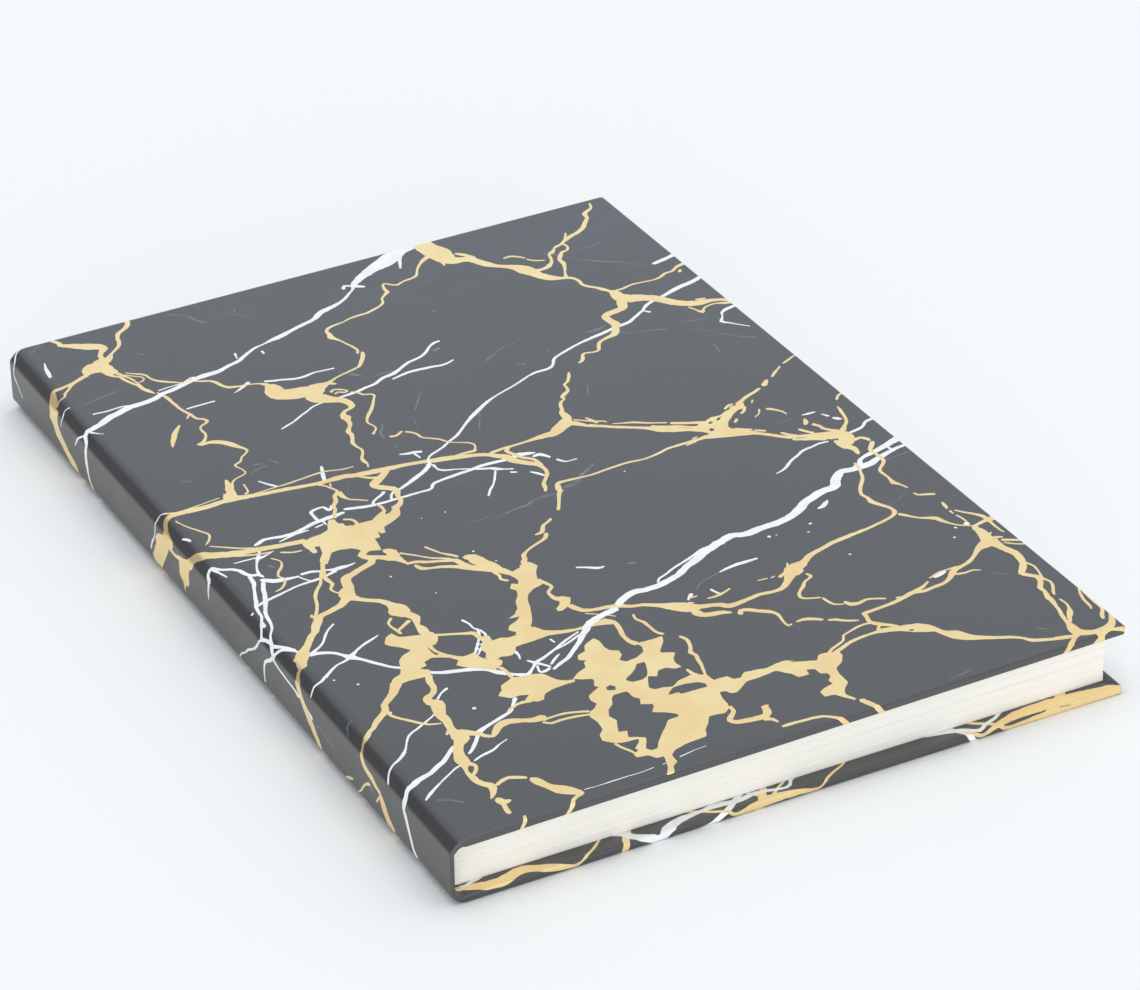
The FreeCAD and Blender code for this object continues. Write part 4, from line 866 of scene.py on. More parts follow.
tail band: 102.8 -77.8 1, 106 -77.6 .9, 109 -77.4 .9, 111.4 -77 1, 113.6 -76.4 1.1, 115.6 -76 1.2, 117.4
-76.6 1, 119.4 -76.4 .9, 121.8 -76.2 .9, 123.6 -75.6 .9, 125.4 -74.2 1.4, 126.8 -73 1.3, 129 -72.4 .9,
131.4 -71.6 .9, 133.6 -70 .9, 135.2 -68.6 1.4, 136.8 -67.8 2.4, 138.6 -67.2 3.2, 139.2 -65 2.4, 139.4 -63
2.2, 139.2 -61.6 1.6, 139.8 -60.6 .9, 142 -60 1, 144.7 -59.8 1.6;
tail band side: 111.4 -76 .5, 113 -76.6 .8;
tail band up: 115.4 -75.8 1, 118 -75.2 .8, 120 -74 .5;
tail band strand: 121 -73.1 .4, 123.6 -72.2 .5, 126.6 -72.1 .5, 128.2 -72.2 .6;
tail band low: 126.4 -74.4 .7, 128 -74.9 .6, 130 -74.8 .5, 131.4 -75.6 .3;
right column: 139.2 -67.4 3, 139.6 -69.2 2.2, 139.8 -70.6 1.8, 140.6 -72.6 1.8, 140.8 -74.6 1.7, 140.4 -77
1.5, 139.2 -79 1.5, 137.8 -80.6 1.4, 138.6 -82 1.2, 139.8 -83.4 1.3, 139.2 -85.4 1.2, 138 -87 1.2, 138
-88.6 .9, 137.4 -90.4 1.2, 137.4 -92 1.2, 137 -94 .8, 136.6 -96 .8, 136 -98 .9, 135.6 -100 .8, 135.4 -102
1.8, 135.2 -104 2.6, 136.4 -105.2 2, 138.4 -106 1.6, 141 -106 1.9, 142.8 -105 1.6, 143.8 -103.6 1.2, 144.7
-102 1;
right column spike a: 140.6 -66.4 1, 142 -67 .6;
right column spike b: 140 -64.8 1, 141 -64.5 .5;
right column spike c: 141.4 -68 .9, 143.4 -69.2 .9, 144.7 -69.8 .9;
right column spike d: 141.2 -69 .4, 142.8 -70.6 .5, 144.7 -71.6 .5;
right column foot a: 135 -105 1.4, 133.4 -106 .9, 131.8 -107.5 1.2;
right column foot b: 138.4 -106 1.2, 138.8 -107.5 1.5;
right column foot c: 140.6 -106.9 .8, 142.9 -107.2 1;
right column strand: 140.8 -77.8 .5, 141.4 -79.6 .6, 141 -82 .5, 140.4 -84.4 .6, 141 -86 .6, 140.4 -88 .7,
139.4 -89.6 .7, 139 -90.6 .4;
right column strand b: 139 -92.6 .5, 139.2 -94.4 .5, 138.8 -96 .6, 138 -97.6 1.4, 137 -99 1, 136.2 -100.4
.8;
rim strand: 144.7 -90.6 .4, 143.8 -92.4 .6, 143 -95 .6, 142.8 -97.4 .6, 142.4 -98.6 .3;
rim strand b: 144.7 -93 .8, 144.5 -96 .8, 144.2 -99.6 .6, 143.2 -101 .9, 142.4 -102.6 .8;
up right: 128.8 -49 .9, 130.2 -50.8 .7, 131.6 -52.4 .6, 133 -53.2 .9, 134.4 -54.2 1.3, 134.8 -55.4 1.1,
135.6 -57 .6, 136.8 -58.6 .5, 138.2 -59.6 .5, 139.2 -60.4 .5;
up right b: 139.4 -53.4 .5, 140.4 -54.8 .6, 142 -56.6 .7, 143 -58.2 1, 143.2 -60 .9, 143.1 -62 .6, 143.1
-64.4 .5, 143.4 -65.6 .3;
up right c: 138.8 -49.4 .4, 138.6 -50.8 .9, 138.4 -52 .5;
up right d: 138.4 -53 .5, 138.4 -54.2 .5;
up right e: 138.6 -55.2 .5, 139 -57 .5, 139 -58.6 .4;
up right f: 135.8 -43.4 .5, 136.2 -44.4 .6, 137.6 -45 .7, 139.2 -45.8 .8;
ring 21: 21.4 -32.8 .6, 20.2 -34 .6, 20 -35.6 .5, 20.4 -37.4 .7, 20.6 -38.8 .6;
ring 21 link: 20.6 -37.6 .6, 22.4 -36.4 .8, 24 -35.4 .9;
ring 21 right: 24.6 -32.8 2, 25.2 -33.8 2.2, 25.6 -35 2, 25.2 -36.4 1.4, 24.8 -37.8 1, 25 -39.2 2, 24.6
-41 2;
body strand: 24.6 -41.4 .6, 26.5 -42.8 .8, 29 -43.9 .7, 31.2 -44.9 .9, 33 -45.8 1.2, 33.2 -47.4 1, 33.8
-49 1.4, 34 -50.6 1.6, 33.4 -52 1.6;
leg a: 11.8 -54.4 2.4, 10 -57 1.8, 8.2 -58.6 1.5, 6.6 -60 1.5, 6 -61.8 1.5, 4.4 -63.2 1.3, 2.6 -64.6 1.3,
1.4 -66 1, 0 -67 1, -1 -68 1.3, -2.4 -68.8 .7, -3.4 -69.6 .7, -5 -70.6 1.6, -6 -71.6 1.4, -6.8 -74.4 1.6,
-7.6 -76 1.2, -8.2 -77.8 1, -9.6 -78.8 2, -11 -79.8 2.2, -12.4 -81.4 2, -13.6 -83.6 1.6;
leg a twig: 6 -62.4 .8, 6.2 -64 .8, 7 -65.4 .7, 8.4 -67.2 .7, 9.8 -69 .7, 11.4 -70.4 .6, 13.2 -71 .4;
leg b: 18.6 -55 1.4, 17.8 -57 1.4, 17.6 -59 1.3, 16.6 -60.8 1.2, 14.8 -62 1.6, 14.6 -63.4 2.1, 15.6 -64.6
2.8, 15 -66.4 2.6, 14.4 -68.6 2.2, 14.6 -70.4 2, 14.2 -72.4 1.6, 14 -74.2 1.8, 14.2 -76.2 3.2, 14.2 -77.6
3.2, 13 -79 2, 11.8 -81 2, 11.2 -83 2.4, 11 -84.8 2.6, 10.4 -86.8 1, 10 -88.4 .9, 10.2 -90 1.4, 10.4 -92
1.4, 11.4 -93.6 1.6, 12 -94.6 1.8, 11.6 -96 1.3, 10.6 -97.4 .8, 10 -98 .3;
leg b ring: 11.6 -85.8 1.2, 12.4 -87 .8, 11.6 -88.6 .8, 10.4 -89.6 .8;
leg b spur: 13.4 -74 .8, 12.4 -75 .5;
leg b foot: 11 -98.8 1.4, 11.4 -100.2 1.9, 12.8 -100.2 .8;
leg b foot b: 11.2 -100.6 1, 10.8 -102.8 1.1, 10.8 -103.8 1;
leg b foot c: 12.8 -106 .5, 12.2 -107.5 .8;
right arm: 14.8 -75.6 2.4, 16 -76.4 2, 17.6 -77.6 1.4, 18.6 -79 1, 19.8 -79.8 .9, 21 -78.6 1.4, 22.6 -77.2
1.8, 24.4 -76.8 1.8, 26 -77.4 1.7, 27.4 -78 1.2, 29 -78.8 1.6, 30.6 -78.8 2, 31.2 -79.4 1;
right arm cord a: 30.6 -79.8 .6, 33 -79.6 .6, 35.4 -79.8 .7, 37.6 -80.6 .7, 39.4 -81.4 .8;
right arm cord b: 30.2 -80.4 .7, 31.4 -81.4 .7, 34 -81.4 .7, 36.8 -81.8 .7, 39 -82.4 .7;
foot strand: 13 -94.6 .8, 14.6 -93.8 .9, 16 -93.6 1, 17.6 -94.4 1, 18.8 -95.2 .7;
foot leaf: 19.6 -96 1.2, 20 -97.2 2, 20.4 -98 1.8, 21 -99.6 1.6, 22.2 -101.4 2.6, 23.4 -102.6 2.8, 24.6
-103.8 2, 25.4 -104.8 1.2, 24.4 -105.2 .9, 23 -106 .8, 22 -107.5 .9;
patch strand: 31.6 -72.6 1, 29 -72.4 .8, 27 -73.2 .7, 26 -73.9 .5;
patch link: 31.8 -59.4 1, 32.2 -61.2 .8, 32.2 -63.6 .9;
vertical: 57.4 -54.6 1.4, 58.7 -56 1.2, 58.6 -58.4 1, 58 -61 1, 58 -63.4 1.2, 58.8 -65 1.4;
vertical strand: 55.4 -50.4 .3, 57 -51.6 .4, 58.8 -53 .3, 60 -54.2 .3;
right thin: 63.4 -55.4 .4, 63 -57.2 .6, 63.8 -58.8 .8, 64 -61 .7, 64.2 -63.4 .7, 65 -64.6 .7;
right thin b: 67.4 -67 .6, 68 -68.4 .8, 67.8 -70 .8, 67.2 -71.6 .8, 66.4 -73 1, 66.8 -74.4 .8, 66.4 -76
.8, 66 -78 .7, 65.4 -80 .6, 65 -81.6 .5, 65.2 -83.8 .6;
tuft: 62.8 -78 .6, 63 -79.6 .8, 63.6 -80.6 .8;
below body: 63.4 -93.4 1, 63.4 -95 .9, 62 -96.4 1.2, 61.2 -97.4 1.2, 62 -98.6 1.4, 63.6 -99 1.5, 66 -99.4
1.5, 68 -99.4 1.7, 69 -98 1.6, 69.2 -96.8 1.4, 70 -96.6 .6;
below body b: 67.2 -100.2 1.4, 68.4 -101.2 1, 68.8 -102.4 .6;
column strand: 38.6 -93.6 .6, 39 -95.2 .6, 39.8 -96.8 .6, 40.2 -98 .5;
tail line: 68.8 -104.2 .6, 70 -104.2 .9, 73 -104.4 .8, 75 -104.6 .8, 77 -105 .8, 78.4 -106 .8, 79.4 -107
1, 79.8 -107.5 1;
arm upper: 89.8 -86.4 .7, 91 -85.6 .7, 93 -84.8 .6, 94.4 -84 .6, 95.2 -82.6 .5, 97 -82 .5, 99 -81.4 .6,
100.8 -81.2 .6, 102.2 -81.4 .8;
arm main: 90.8 -87 1, 92.6 -86.4 .9, 95 -85.4 .9, 98 -84.9 .8, 101 -84.8 .8, 103 -85 1.6, 105 -85.6 1.6,
107 -86.4 2.4, 109 -87.4 3, 110.8 -88.6 2.8, 112 -90 1.4, 112.8 -91.8 1.6, 114.2 -93.2 3, 115.4 -94.6 2.6,
116.6 -95.8 2, 118.6 -97 1.2, 121 -98.4 1, 123.4 -99.6 .9, 125 -101 .8, 126 -102.4 1.1, 128 -103.4 1.1,
130 -104.2 1, 132.6 -105 1, 134.6 -105.2 1.2;
arm main strand: 130.4 -103.8 .4, 132.4 -104.4 .5, 133.6 -104.8 .4;
stub: 102.8 -77.8 1, 102.6 -79.4 .9, 102.2 -81 1, 103.4 -82.6 1.2, 105 -84 1, 106 -85 1;
stub left: 102 -84.4 .6, 103 -83.2 .7;
foot 86: 86.4 -104 1.4, 87 -105.4 1.3, 87.9 -107.5 1.2;
spine neck: -6 20.4 1.4, -6.4 18 .9, -6.2 16 1, -6 14.6 1.6;
spine low: 1 -35.8 1.4, -1.2 -38.6 1.6, -1.8 -39.8 .8, -2.6 -40.2 .9, -3.4 -41 1.1, -4.2 -41.6 1.9, -5.4
-42.4 1.9, -6.6 -43.2 1.8, -7.8 -44.6 2, -9 -46 2.2, -10.2 -47.6 2.2, -11.4 -49 1.8, -12.6 -50.4 1.6,
-13.6 -51.6 1.4;
spine tail a: -8.8 -73.6 .6, -9.6 -72 .6, -11 -70.6 .5, -12.4 -69.6 .5, -13.6 -68.2 .4;
spine tail b: -11 -76.4 .5, -9.6 -77.4 .6, -9 -78 .5;
spine tail c: -13.6 -62.4 .3, -12.6 -64.6 .7, -12 -66 .4
""")
WHITE_ON_TOP = routes("""
long white over gold: 13 71.3 1.6, 16 71.8 1.5, 18.5 73 1.3, 21 73.4 1.3;
letter stroke: 54 22.6 .6, 54.3 20.6 .4;
third over gold: 55 17 .6, 55.2 18.6 .5, 56.3 20.2 .5, 58.5 21.3 .6;
wide over gold: 52.6 -55.8 1.5, 54 -54.2 1.5, 56 -53.2 1.6, 58 -52.6 1.5, 60 -52.2 1.6, 61.4 -51.8 1.6;
wide over gold b: 62.6 -50.7 1.6, 64 -49.6 1.7;
stub 55: 55.3 16.6 .8, 55.3 15.4 .5, 55.4 14.4 .6
""")
GOLD_ISLANDS = routes("""
star: 18.2 1.8, 20.5 2.9, 23 3.1, 25 4, 26 6.2, 27 7.4, 28 7, 27.9 5.2, 29 4.7, 30 2.9, 31.7 3.1, 34.5
2.9, 36 4, 37.5 4.9, 38.5 5.2, 37.9 3.5, 39 3.7, 40 4.7, 41.5 5, 41 3, 40 1.5, 37.5 .1, 35.5 -.8, 34.8
-2.8, 33.9 -2.9, 33.5 -1.6, 33 -4, 31.8 -4, 31.5 -6, 31 -8.5, 29 -7.8, 27.5 -8, 27.2 -6.2, 26 -5, 24 -4.4,
22 -4.5, 20.8 -6, 19.2 -8, 18.2 -7, 18.8 -5.5, 20.2 -3.5, 20.8 -1, 19.8 -.8, 19.4 -3, 18.5 -2.9, 18.4
-1.2, 18 0;
crossing: 109.6 -2.5, 111 -1.4, 112 -.4, 111.4 .6, 110.6 2.6, 111.6 3.6, 113.4 4, 115.4 4.8, 117.2 4.6,
119 5.4, 120.6 6, 121 6.8, 122.6 6.6, 124.2 7.8, 124.2 6.2, 123.4 4.8, 121.8 4.6, 120 3.6, 118.8 2.4,
117.4 1.2, 116.4 -.6, 117 -2, 118 -3.2, 119.4 -4.4, 121 -5.8, 120 -6.2, 117 -5.2, 114 -4.2, 111.4 -3.2;
left body: 16.2 -40.4, 17.4 -38.6, 19 -37.8, 19.6 -39.6, 21.4 -40.4, 23.2 -41, 24.2 -41.2, 25.2 -40.6,
26.2 -41.4, 26.4 -43.2, 25.8 -44.6, 24.8 -45.6, 23.9 -45.8, 24 -47.6, 24.6 -49.2, 25.8 -50.8, 27.4 -52.2,
29 -52.2, 30 -52, 30.2 -54, 31 -55.4, 32.6 -56, 33.4 -57.4, 32.6 -58.6, 31.4 -59.2, 30.4 -59.6, 28.6 -58,
27.2 -57, 25.6 -55.4, 24.9 -54.4, 26 -53, 25 -51.4, 23.4 -50.4, 21.8 -49.6, 20 -50.4, 19.8 -51.6, 18.2
-52, 19.6 -53.2, 19 -55, 17 -55, 14.5 -54.8, 12.6 -55, 11.4 -55.6, 10.8 -54.4, 11.8 -52.8, 14 -51.8, 15
-50, 16 -47.4, 17.6 -46, 19.6 -45.2, 18.6 -43.6, 16.6 -41.6;
middle body: 30.9 -55, 31.8 -53.6, 31.6 -51.6, 32.6 -50.2, 33.6 -49.6, 34.2 -47.6, 35.2 -48.2, 35 -50,
36.8 -49.8, 38 -50.6, 39.8 -50.6, 40.4 -49.6, 39.4 -48.2, 40.4 -46.8, 42.4 -46, 43.6 -44.8, 41.4 -44.6,
43.2 -43.6, 44.6 -42, 45.4 -39.8, 46.8 -37.8, 47.6 -36, 46.8 -34.8, 48 -33.2, 49 -34, 49.6 -33, 49.4 -30,
50.6 -29, 53 -28.4, 55 -28.2, 55.6 -29.8, 54.4 -31.4, 53.8 -32.6, 53 -34.8, 53.8 -36, 52.8 -36.6, 50.6
-37.2, 49 -38.4, 47.8 -40.4, 47 -43, 46 -45.4, 44.8 -48, 43.8 -49.2, 44.6 -50, 45.4 -51.6, 47 -52.8, 49
-53.6, 51 -54.2, 53 -54.2, 55.4 -53.8, 57.8 -54, 58.8 -55, 58.2 -56.6, 57 -56, 55 -55.4, 52 -55.2, 49.6
-54.9, 47.6 -54.5, 45.6 -53.9, 42 -54.1, 38 -54.3, 37.2 -55.6, 36 -56.6, 34.8 -56.4, 33.8 -56, 32.6 -56.4,
31.4 -55.6;
low patch: 27 -68, 28.4 -66.6, 29 -65.2, 31 -64.2, 32.4 -63.8, 35.6 -64.4, 37.8 -65.2, 38.6 -66.8, 39.4
-68.6, 40.8 -69.8, 42.4 -70.2, 42 -71, 39.6 -71, 37 -71.2, 35 -72, 34 -73.4, 32.6 -73.6, 31.6 -72.8, 30.8
-71.8, 32.2 -70.6, 30.6 -70, 28.8 -70, 27.8 -69;
tail body: 59 -65, 62 -65.2, 64.4 -65.2, 63.6 -67.2, 62 -69, 61.4 -70.2, 63.8 -71.6, 62.6 -73, 62 -75,
62.4 -76.6, 61 -76.6, 59.6 -75.4, 57.8 -75.6, 56.6 -77.2, 55.2 -76.4, 54.4 -77.6, 53.4 -79.8, 54 -81, 55.8
-81.2, 57.6 -81.8, 59.4 -80.6, 61.6 -80.2, 63.6 -79.8, 64 -80.8, 65.2 -81.4, 65.2 -82.8, 65.4 -83.8, 66.6
-83.8, 68.4 -84, 69 -85.4, 70.4 -85.6, 71.8 -84.4, 74 -84.7, 76.4 -85.2, 78.6 -84.8, 80.6 -84.6, 81.8
-85.4, 84 -86.6, 86.2 -87.6, 87.4 -86.2, 89.6 -86.4, 91.4 -87.4, 91.4 -88.6, 90 -90.6, 88 -92, 87.4 -94,
87.4 -97.2, 85.8 -98.8, 84.8 -100.6, 85.8 -103, 85.2 -103.2, 84 -101.4, 83 -99.8, 81 -99.4, 81 -97.6, 82.4
-96.8, 84.6 -96.2, 84.4 -95, 85.4 -94, 85.6 -92.6, 84.4 -92, 84.2 -90.2, 82.6 -89.6, 82.4 -91.2, 80 -91,
79.6 -89.4, 78.6 -88.4, 77.4 -87, 73 -87.4, 70.6 -87.4, 68.6 -88.8, 67.2 -89.7, 66 -89.4, 65.6 -88.4, 64.4
-88, 63.8 -90, 63.6 -92.4, 63 -93.8, 61.6 -94.8, 60 -94.4, 58.4 -94.4, 57.2 -96.2, 55.6 -98, 54.6 -99.9,
50 -100.2, 47.4 -101, 46 -102.2, 45.8 -104.6, 44.4 -105.6, 43.6 -107.4, 42 -107.4, 43.2 -105.6, 44 -103.4,
44.4 -101.8, 43 -101.6, 42 -100, 39.8 -99.6, 39.8 -98.4, 41.4 -97.6, 41 -96.8, 42.4 -95.6, 43.2 -94.4, 42
-94.2, 40 -94, 38.4 -93.2, 37 -91.4, 37.4 -89.6, 38.8 -88, 39.2 -85.6, 38.8 -83.2, 39.4 -81.8, 40.8 -81,
42 -79.8, 41.6 -78.4, 42 -76.6, 45 -75, 44.6 -74, 45.4 -72.6, 45.4 -71.8, 43.6 -71, 42.2 -69.9, 44.2
-68.4, 46.2 -67.6, 46.6 -66, 47.4 -65.4, 46.2 -64.6, 47 -63, 48.8 -62.4, 49.6 -60.6, 51 -59.8, 52.4 -59.2,
53 -60.4, 52.8 -63, 53.2 -64.6, 54.6 -65.4, 54.4 -67.2, 53.2 -68.4, 54 -69.6, 56.4 -69.4, 58.6 -68.2, 59.2
-66.6;
spine band: -3.6 84, -5.6 84.4, -7.2 84.6, -8 83, -10 81.4, -11 79, -12.6 75.6, -13.8 72, -13.6 69.4, -12
70.8, -10.6 74.6, -9 77.4, -7.6 79.4, -6 80.2, -3.6 79.8;
spine upper: -13.6 28.4, -12.5 29.6, -11.2 28.8, -10 28.2, -8.8 27.4, -7.4 27.6, -6 26.6, -5.2 25, -4.6
23, -3.8 23.4, -3 22.6, -3.6 20.4, -4 18.4, -5.4 18.4, -6.2 20.4, -7.4 21, -9 22, -11 23.4, -13.6 25;
spine lower: -12.9 13.2, -11.1 13.6, -10 15.4, -8.6 15.5, -6.8 15.4, -5.7 16.4, -5 13.6, -4.3 11.4, -3
10.3, -3 8.2, -4.3 8.2, -5.4 8.9, -6.4 10.3, -8.2 10.7, -9.7 10.7, -10.8 11.4, -11.1 12.5;
spine corner: -1.8 -36.4, 0 -35.6, 1.6 -34.6, 1.6 -36.6, .4 -38, -.4 -40.2, -1.6 -40.2, -1.5 -38.8
""")
BLACK_HOLES = routes("""
star eye: 28.8 4.6, 29.6 5.2, 30.4 4.2, 30 3.2, 28.9 3.4;
crossing eye: 112.2 .2, 112.8 1, 113.4 .4, 113.2 -.4, 112.4 -.4;
crossing eye b: 113.4 2.8, 114 3.3, 114.7 3.1, 114.4 2.6, 113.7 2.4;
crossing eye c: 115.5 2.8, 116.2 3.8, 117.3 4, 116.4 3;
tail window: 46.2 -78.8, 49 -79, 49.2 -81.4, 50 -82.4, 49.2 -84.2, 51.2 -85.2, 50.8 -86.4, 49.8 -87.6, 52
-89, 53.6 -90.6, 53.4 -91.4, 51 -91.6, 49.6 -93.2, 47.8 -95, 45.8 -97.2, 44.8 -98.8, 43.4 -98.8, 42.8
-97.8, 44 -95.8, 44.6 -94.6, 43.2 -93.6, 41.8 -92.8, 42.6 -90.8, 41 -90.4, 42.6 -86.6, 42 -84.8, 43 -82.8,
44.6 -81.4, 45.4 -79.6;
tail oval: 57.6 -84.2, 55.4 -84, 56 -83.2, 57.4 -82.2, 60 -82.2, 62.6 -83, 63.4 -84, 63.2 -85.2, 60 -85,
57.6 -84.9;
tail upper window: 50.8 -75.4, 51.6 -76.6, 53.6 -76.8, 55 -76.2, 55.8 -75, 56.6 -73, 57 -71.6, 55.4 -71.4,
54.4 -72.6, 52.8 -74, 51.2 -74.8;
tail dot: 46.2 -75.8, 47.4 -75.4, 48 -76.4, 47.4 -77.4, 46 -76.8;
arm slit: 81.4 -85.8, 84 -86.8, 86.2 -87.8, 86.4 -87.4, 84 -86.4, 81.6 -85.5;
body slit: 22.8 -46, 23 -46, 23.2 -48, 23.8 -49.2, 23.1 -49.2, 22.8 -48;
arm dot: 107 -87.6, 107.8 -87.2, 108.4 -87.6, 107.8 -88
""")
WHITE_FLECKS = routes("""
21 -69.6 .55, 5.4 -51 .35, 2 -47.4 .3, 28.2 -18.8 .3, 46.9 -18.4 .35, 49.2 -24 .25, 33.3 -28.8 .25, 43.6
-1.6 .2, 48.9 -1.8 .25, 101.4 -43.4 .5, 103 -43.6 .25, 111.2 -43.2 .45, 109.2 -45.8 .3, 112 -57.4 .35,
133.6 -62.4 .35, 135.8 -59.3 .4, 138.6 -59.2 .8, 88.6 -5.8 .25, 54.4 17.2 .5, 6.4 -63 .5
""")[0]


def flecks(centres):
    """Short strokes that read as round flecks."""
    return [[(u - r * 0.5, v, r), (u, v + r * 0.1, r * 1.7), (u + r * 0.5, v, r)] for u, v, r in centres]


FRONT_ROUTES = [(ON_GREY, GREY_VEINS), (ON_WHITE, WHITE_VEINS + flecks(WHITE_FLECKS)),
                (ON_GOLD, GOLD_VEINS), (ON_TOP, WHITE_ON_TOP)]
FRONT_ISLANDS = [(ON_GOLD, GOLD_ISLANDS), (ON_HOLE, BLACK_HOLES)]


# The back: its own veins, which go on from the spine.
BACK_GOLD = routes("""
head river: -4.3 70 2, 12 66 1.4, 30 72 2.2, 52 64 3, 70 70 1.6, 92 60 1.2, 118 66 2.6, 144.7 58 1.4;
head branch: 30 72 2, 26 88 1.2, 34 100 1, 30 107.5 1.2;
head branch right: 70 70 1.4, 76 84 1, 72 98 1.2, 80 107.5 1;
corner branch: 118 66 2, 122 84 1.2, 136 96 1, 140 107.5 1.3;
link down: 52 64 2.4, 56 48 1.2, 48 30 1, 48 10 2.4;
middle river: -4.3 28 1.6, 14 20 1.2, 33 26 1.6, 48 10 3, 66 4 1.6, 84 -10 2.8, 110 -6 1.8, 128 -18 1,
144.7 -14 1.6;
lower river: -4.3 -51 1.4, 10 -46 1, 26 -52 1.8, 44 -44 1.2, 58 -50 1, 76 -40 1.4, 84 -10 2.4;
tail river: -4.3 -83 1.2, 16 -80 1.4, 34 -88 3, 52 -84 1.6, 60 -97 1.4, 62 -107.5 1.6;
tail link: -4.3 -68 1, 12 -72 .8, 34 -88 2;
tail stub: 34 -88 1.6, 28 -97 1.2, 33 -107.5 1.4;
right river: 110 -6 2, 104 -30 1.2, 112 -52 3, 102 -72 1.2, 112 -90 1.6, 127 -107.5 2.4;
right branch: 112 -52 2, 128 -58 1, 144.7 -50 1.6""")
BACK_GOLD_RIM = routes("""
tail rim, spine end: -3 -112.4 1, 2 -110.6 2, 7 -109.6 2.6, 12 -111 2.2, 17 -109.4 2, 20 -108.4 1.2,
23 -108 .6;
tail rim, middle: 57 -107.9 .8, 61 -108.4 1.8, 66 -108.8 2, 71 -108.4 1.2, 75 -107.9 .6;
tail rim, middle fork: 65 -109.5 .8, 67 -111 .6, 69.5 -112.6 .5;
tail rim, far end: 112 -108 .8, 116 -109.4 1.4, 121 -110.4 2.4, 127 -110.6 3, 133 -110.2 3.2,
139 -109.6 3, 144 -109 2.2;
tail rim, far end low: 118 -107.8 1, 125 -108 1.6, 132 -107.7 2, 139 -107.9 1.4, 143 -107.7 1""")
BACK_WHITE = routes("""
head white: -4.3 61 .7, 20 52 .9, 44 58 .6, 70 40 1, 98 34 .7, 120 20 1, 144.7 22 .7;
middle white: -4.3 -14 .6, 18 -22 .8, 40 -16 .5, 62 -30 .9, 90 -24 .6, 126 -38 1, 144.7 -34 .6;
middle link: -4.3 -26 .5, 14 -34 .6, 30 -30 .4, 40 -16 .5;
tail white: -4.3 -93 .5, 20 -98 .7, 38 -99 .6, 52 -107.5 1.4;
corner white: 86 107.5 .8, 96 92 .6, 104 84 1, 124 84 .6, 144.7 92 .8;
right white: 110 -107.5 1, 122 -94 .6, 134 -84 .9, 144.7 -80 .6""")
BACK_WHITE_RIM = routes("""
tail rim: 40.5 -107.8 2, 42.5 -109.5 2.4, 46 -111 1.8, 50 -111.4 1, 54 -111.8 1.4, 59 -111.2 1.2,
63 -111.8 1, 69 -110.6 .7;
tail rim, far: 101 -112.6 .5, 105 -112 1.2, 108.5 -111 1.1, 111.5 -109.4 .9;
tail rim, spine end: -1 -111 .6, 2 -112 .8""")
BACK_PATCHES = [(48, 10, 5.6), (84, -10, 4.6), (34, -88, 6.2), (52, 64, 3.8), (112, -52, 5.4), (118, 66,
3.6)]


# How the back's veins are drawn, in mm
MEANDER_STEP = 4.5
GOLD_SWAY, WHITE_SWAY = 1.3, 1.0
GOLD_TWIGS, WHITE_TWIGS, FAINT_THREADS = 5, 4, 34
TWIG_V = 100
PATCH_LOBES = 18
HOLE_SHARE = 0.3


def meander(route, sway):
    """A vein through a few chosen points: it wanders between them, thins and swells."""
    line = []
    for a, b in zip(route, route[1:]):
        count = max(2, round(math.dist(a[:2], b[:2]) / MEANDER_STEP))
        for k in range(count):
            t, off = k / count, sway if k else 0.0
            line.append((lerp(a[0], b[0], t) + off * random.uniform(-1, 1),
                         lerp(a[1], b[1], t) + off * random.uniform(-1, 1),
                         lerp(a[2], b[2], t) * random.uniform(0.5, 1.3)))
    return line + [route[-1]]


def twigs(route, count):
    """Fine side veins: each leaves the route at a slant and thins out."""
    made = []
    for _ in range(count):
        i = random.randrange(1, len(route) - 2)
        u, v, width = route[i]
        heading = math.atan2(route[i + 1][1] - v, route[i + 1][0] - u)
        heading += random.choice((-1, 1)) * random.uniform(0.5, 1.2)
        steps = random.randint(3, 8)
        twig = [(u, v, min(width, 1.0))]
        for k in range(steps):
            heading += random.uniform(-0.6, 0.6)
            u += random.uniform(1.4, 3.2) * math.cos(heading)
            v += random.uniform(1.4, 3.2) * math.sin(heading)
            twig.append((u, v, lerp(min(width, 0.9), 0.25, (k + 1) / steps)))
        if all(abs(p[1]) < TWIG_V for p in twig):
            made.append(twig)
    return made


def patch(u, v, size):
    """The lobed outline of a broad gold area, or of a hole in one."""
    ring = []
    for k in range(PATCH_LOBES):
        reach, turn = size * random.uniform(0.5, 1.35), 2 * math.pi * k / PATCH_LOBES
        ring.append((u + reach * math.cos(turn), v + reach * math.sin(turn)))
    return ring


random.seed(17)
gold_lines = [meander(r, GOLD_SWAY) for r in BACK_GOLD]
white_lines = [meander(r, WHITE_SWAY) for r in BACK_WHITE]
gold_lines += [t for r in list(gold_lines) for t in twigs(r, GOLD_TWIGS)]
white_lines += [t for r in list(white_lines) for t in twigs(r, WHITE_TWIGS)]
grey_lines = []
for _ in range(FAINT_THREADS):
    start = (random.uniform(4, 140), random.uniform(-102, 102), 0.3)
    grey_lines += twigs([start] * 2 + [(start[0] + 2, start[1] + 1.2, 0.3)] * 2, 1)
gold_areas = [patch(*p) for p in BACK_PATCHES]
holes = [patch(u + HOLE_SHARE * size, v - 0.1 * size, HOLE_SHARE * size) for u, v, size in BACK_PATCHES]
BACK_ROUTES = [(ON_GREY, grey_lines), (ON_WHITE, white_lines), (ON_GOLD, gold_lines + BACK_GOLD_RIM),
               (ON_TOP, BACK_WHITE_RIM)]
BACK_ISLANDS = [(ON_GOLD, gold_areas), (ON_HOLE, holes)]


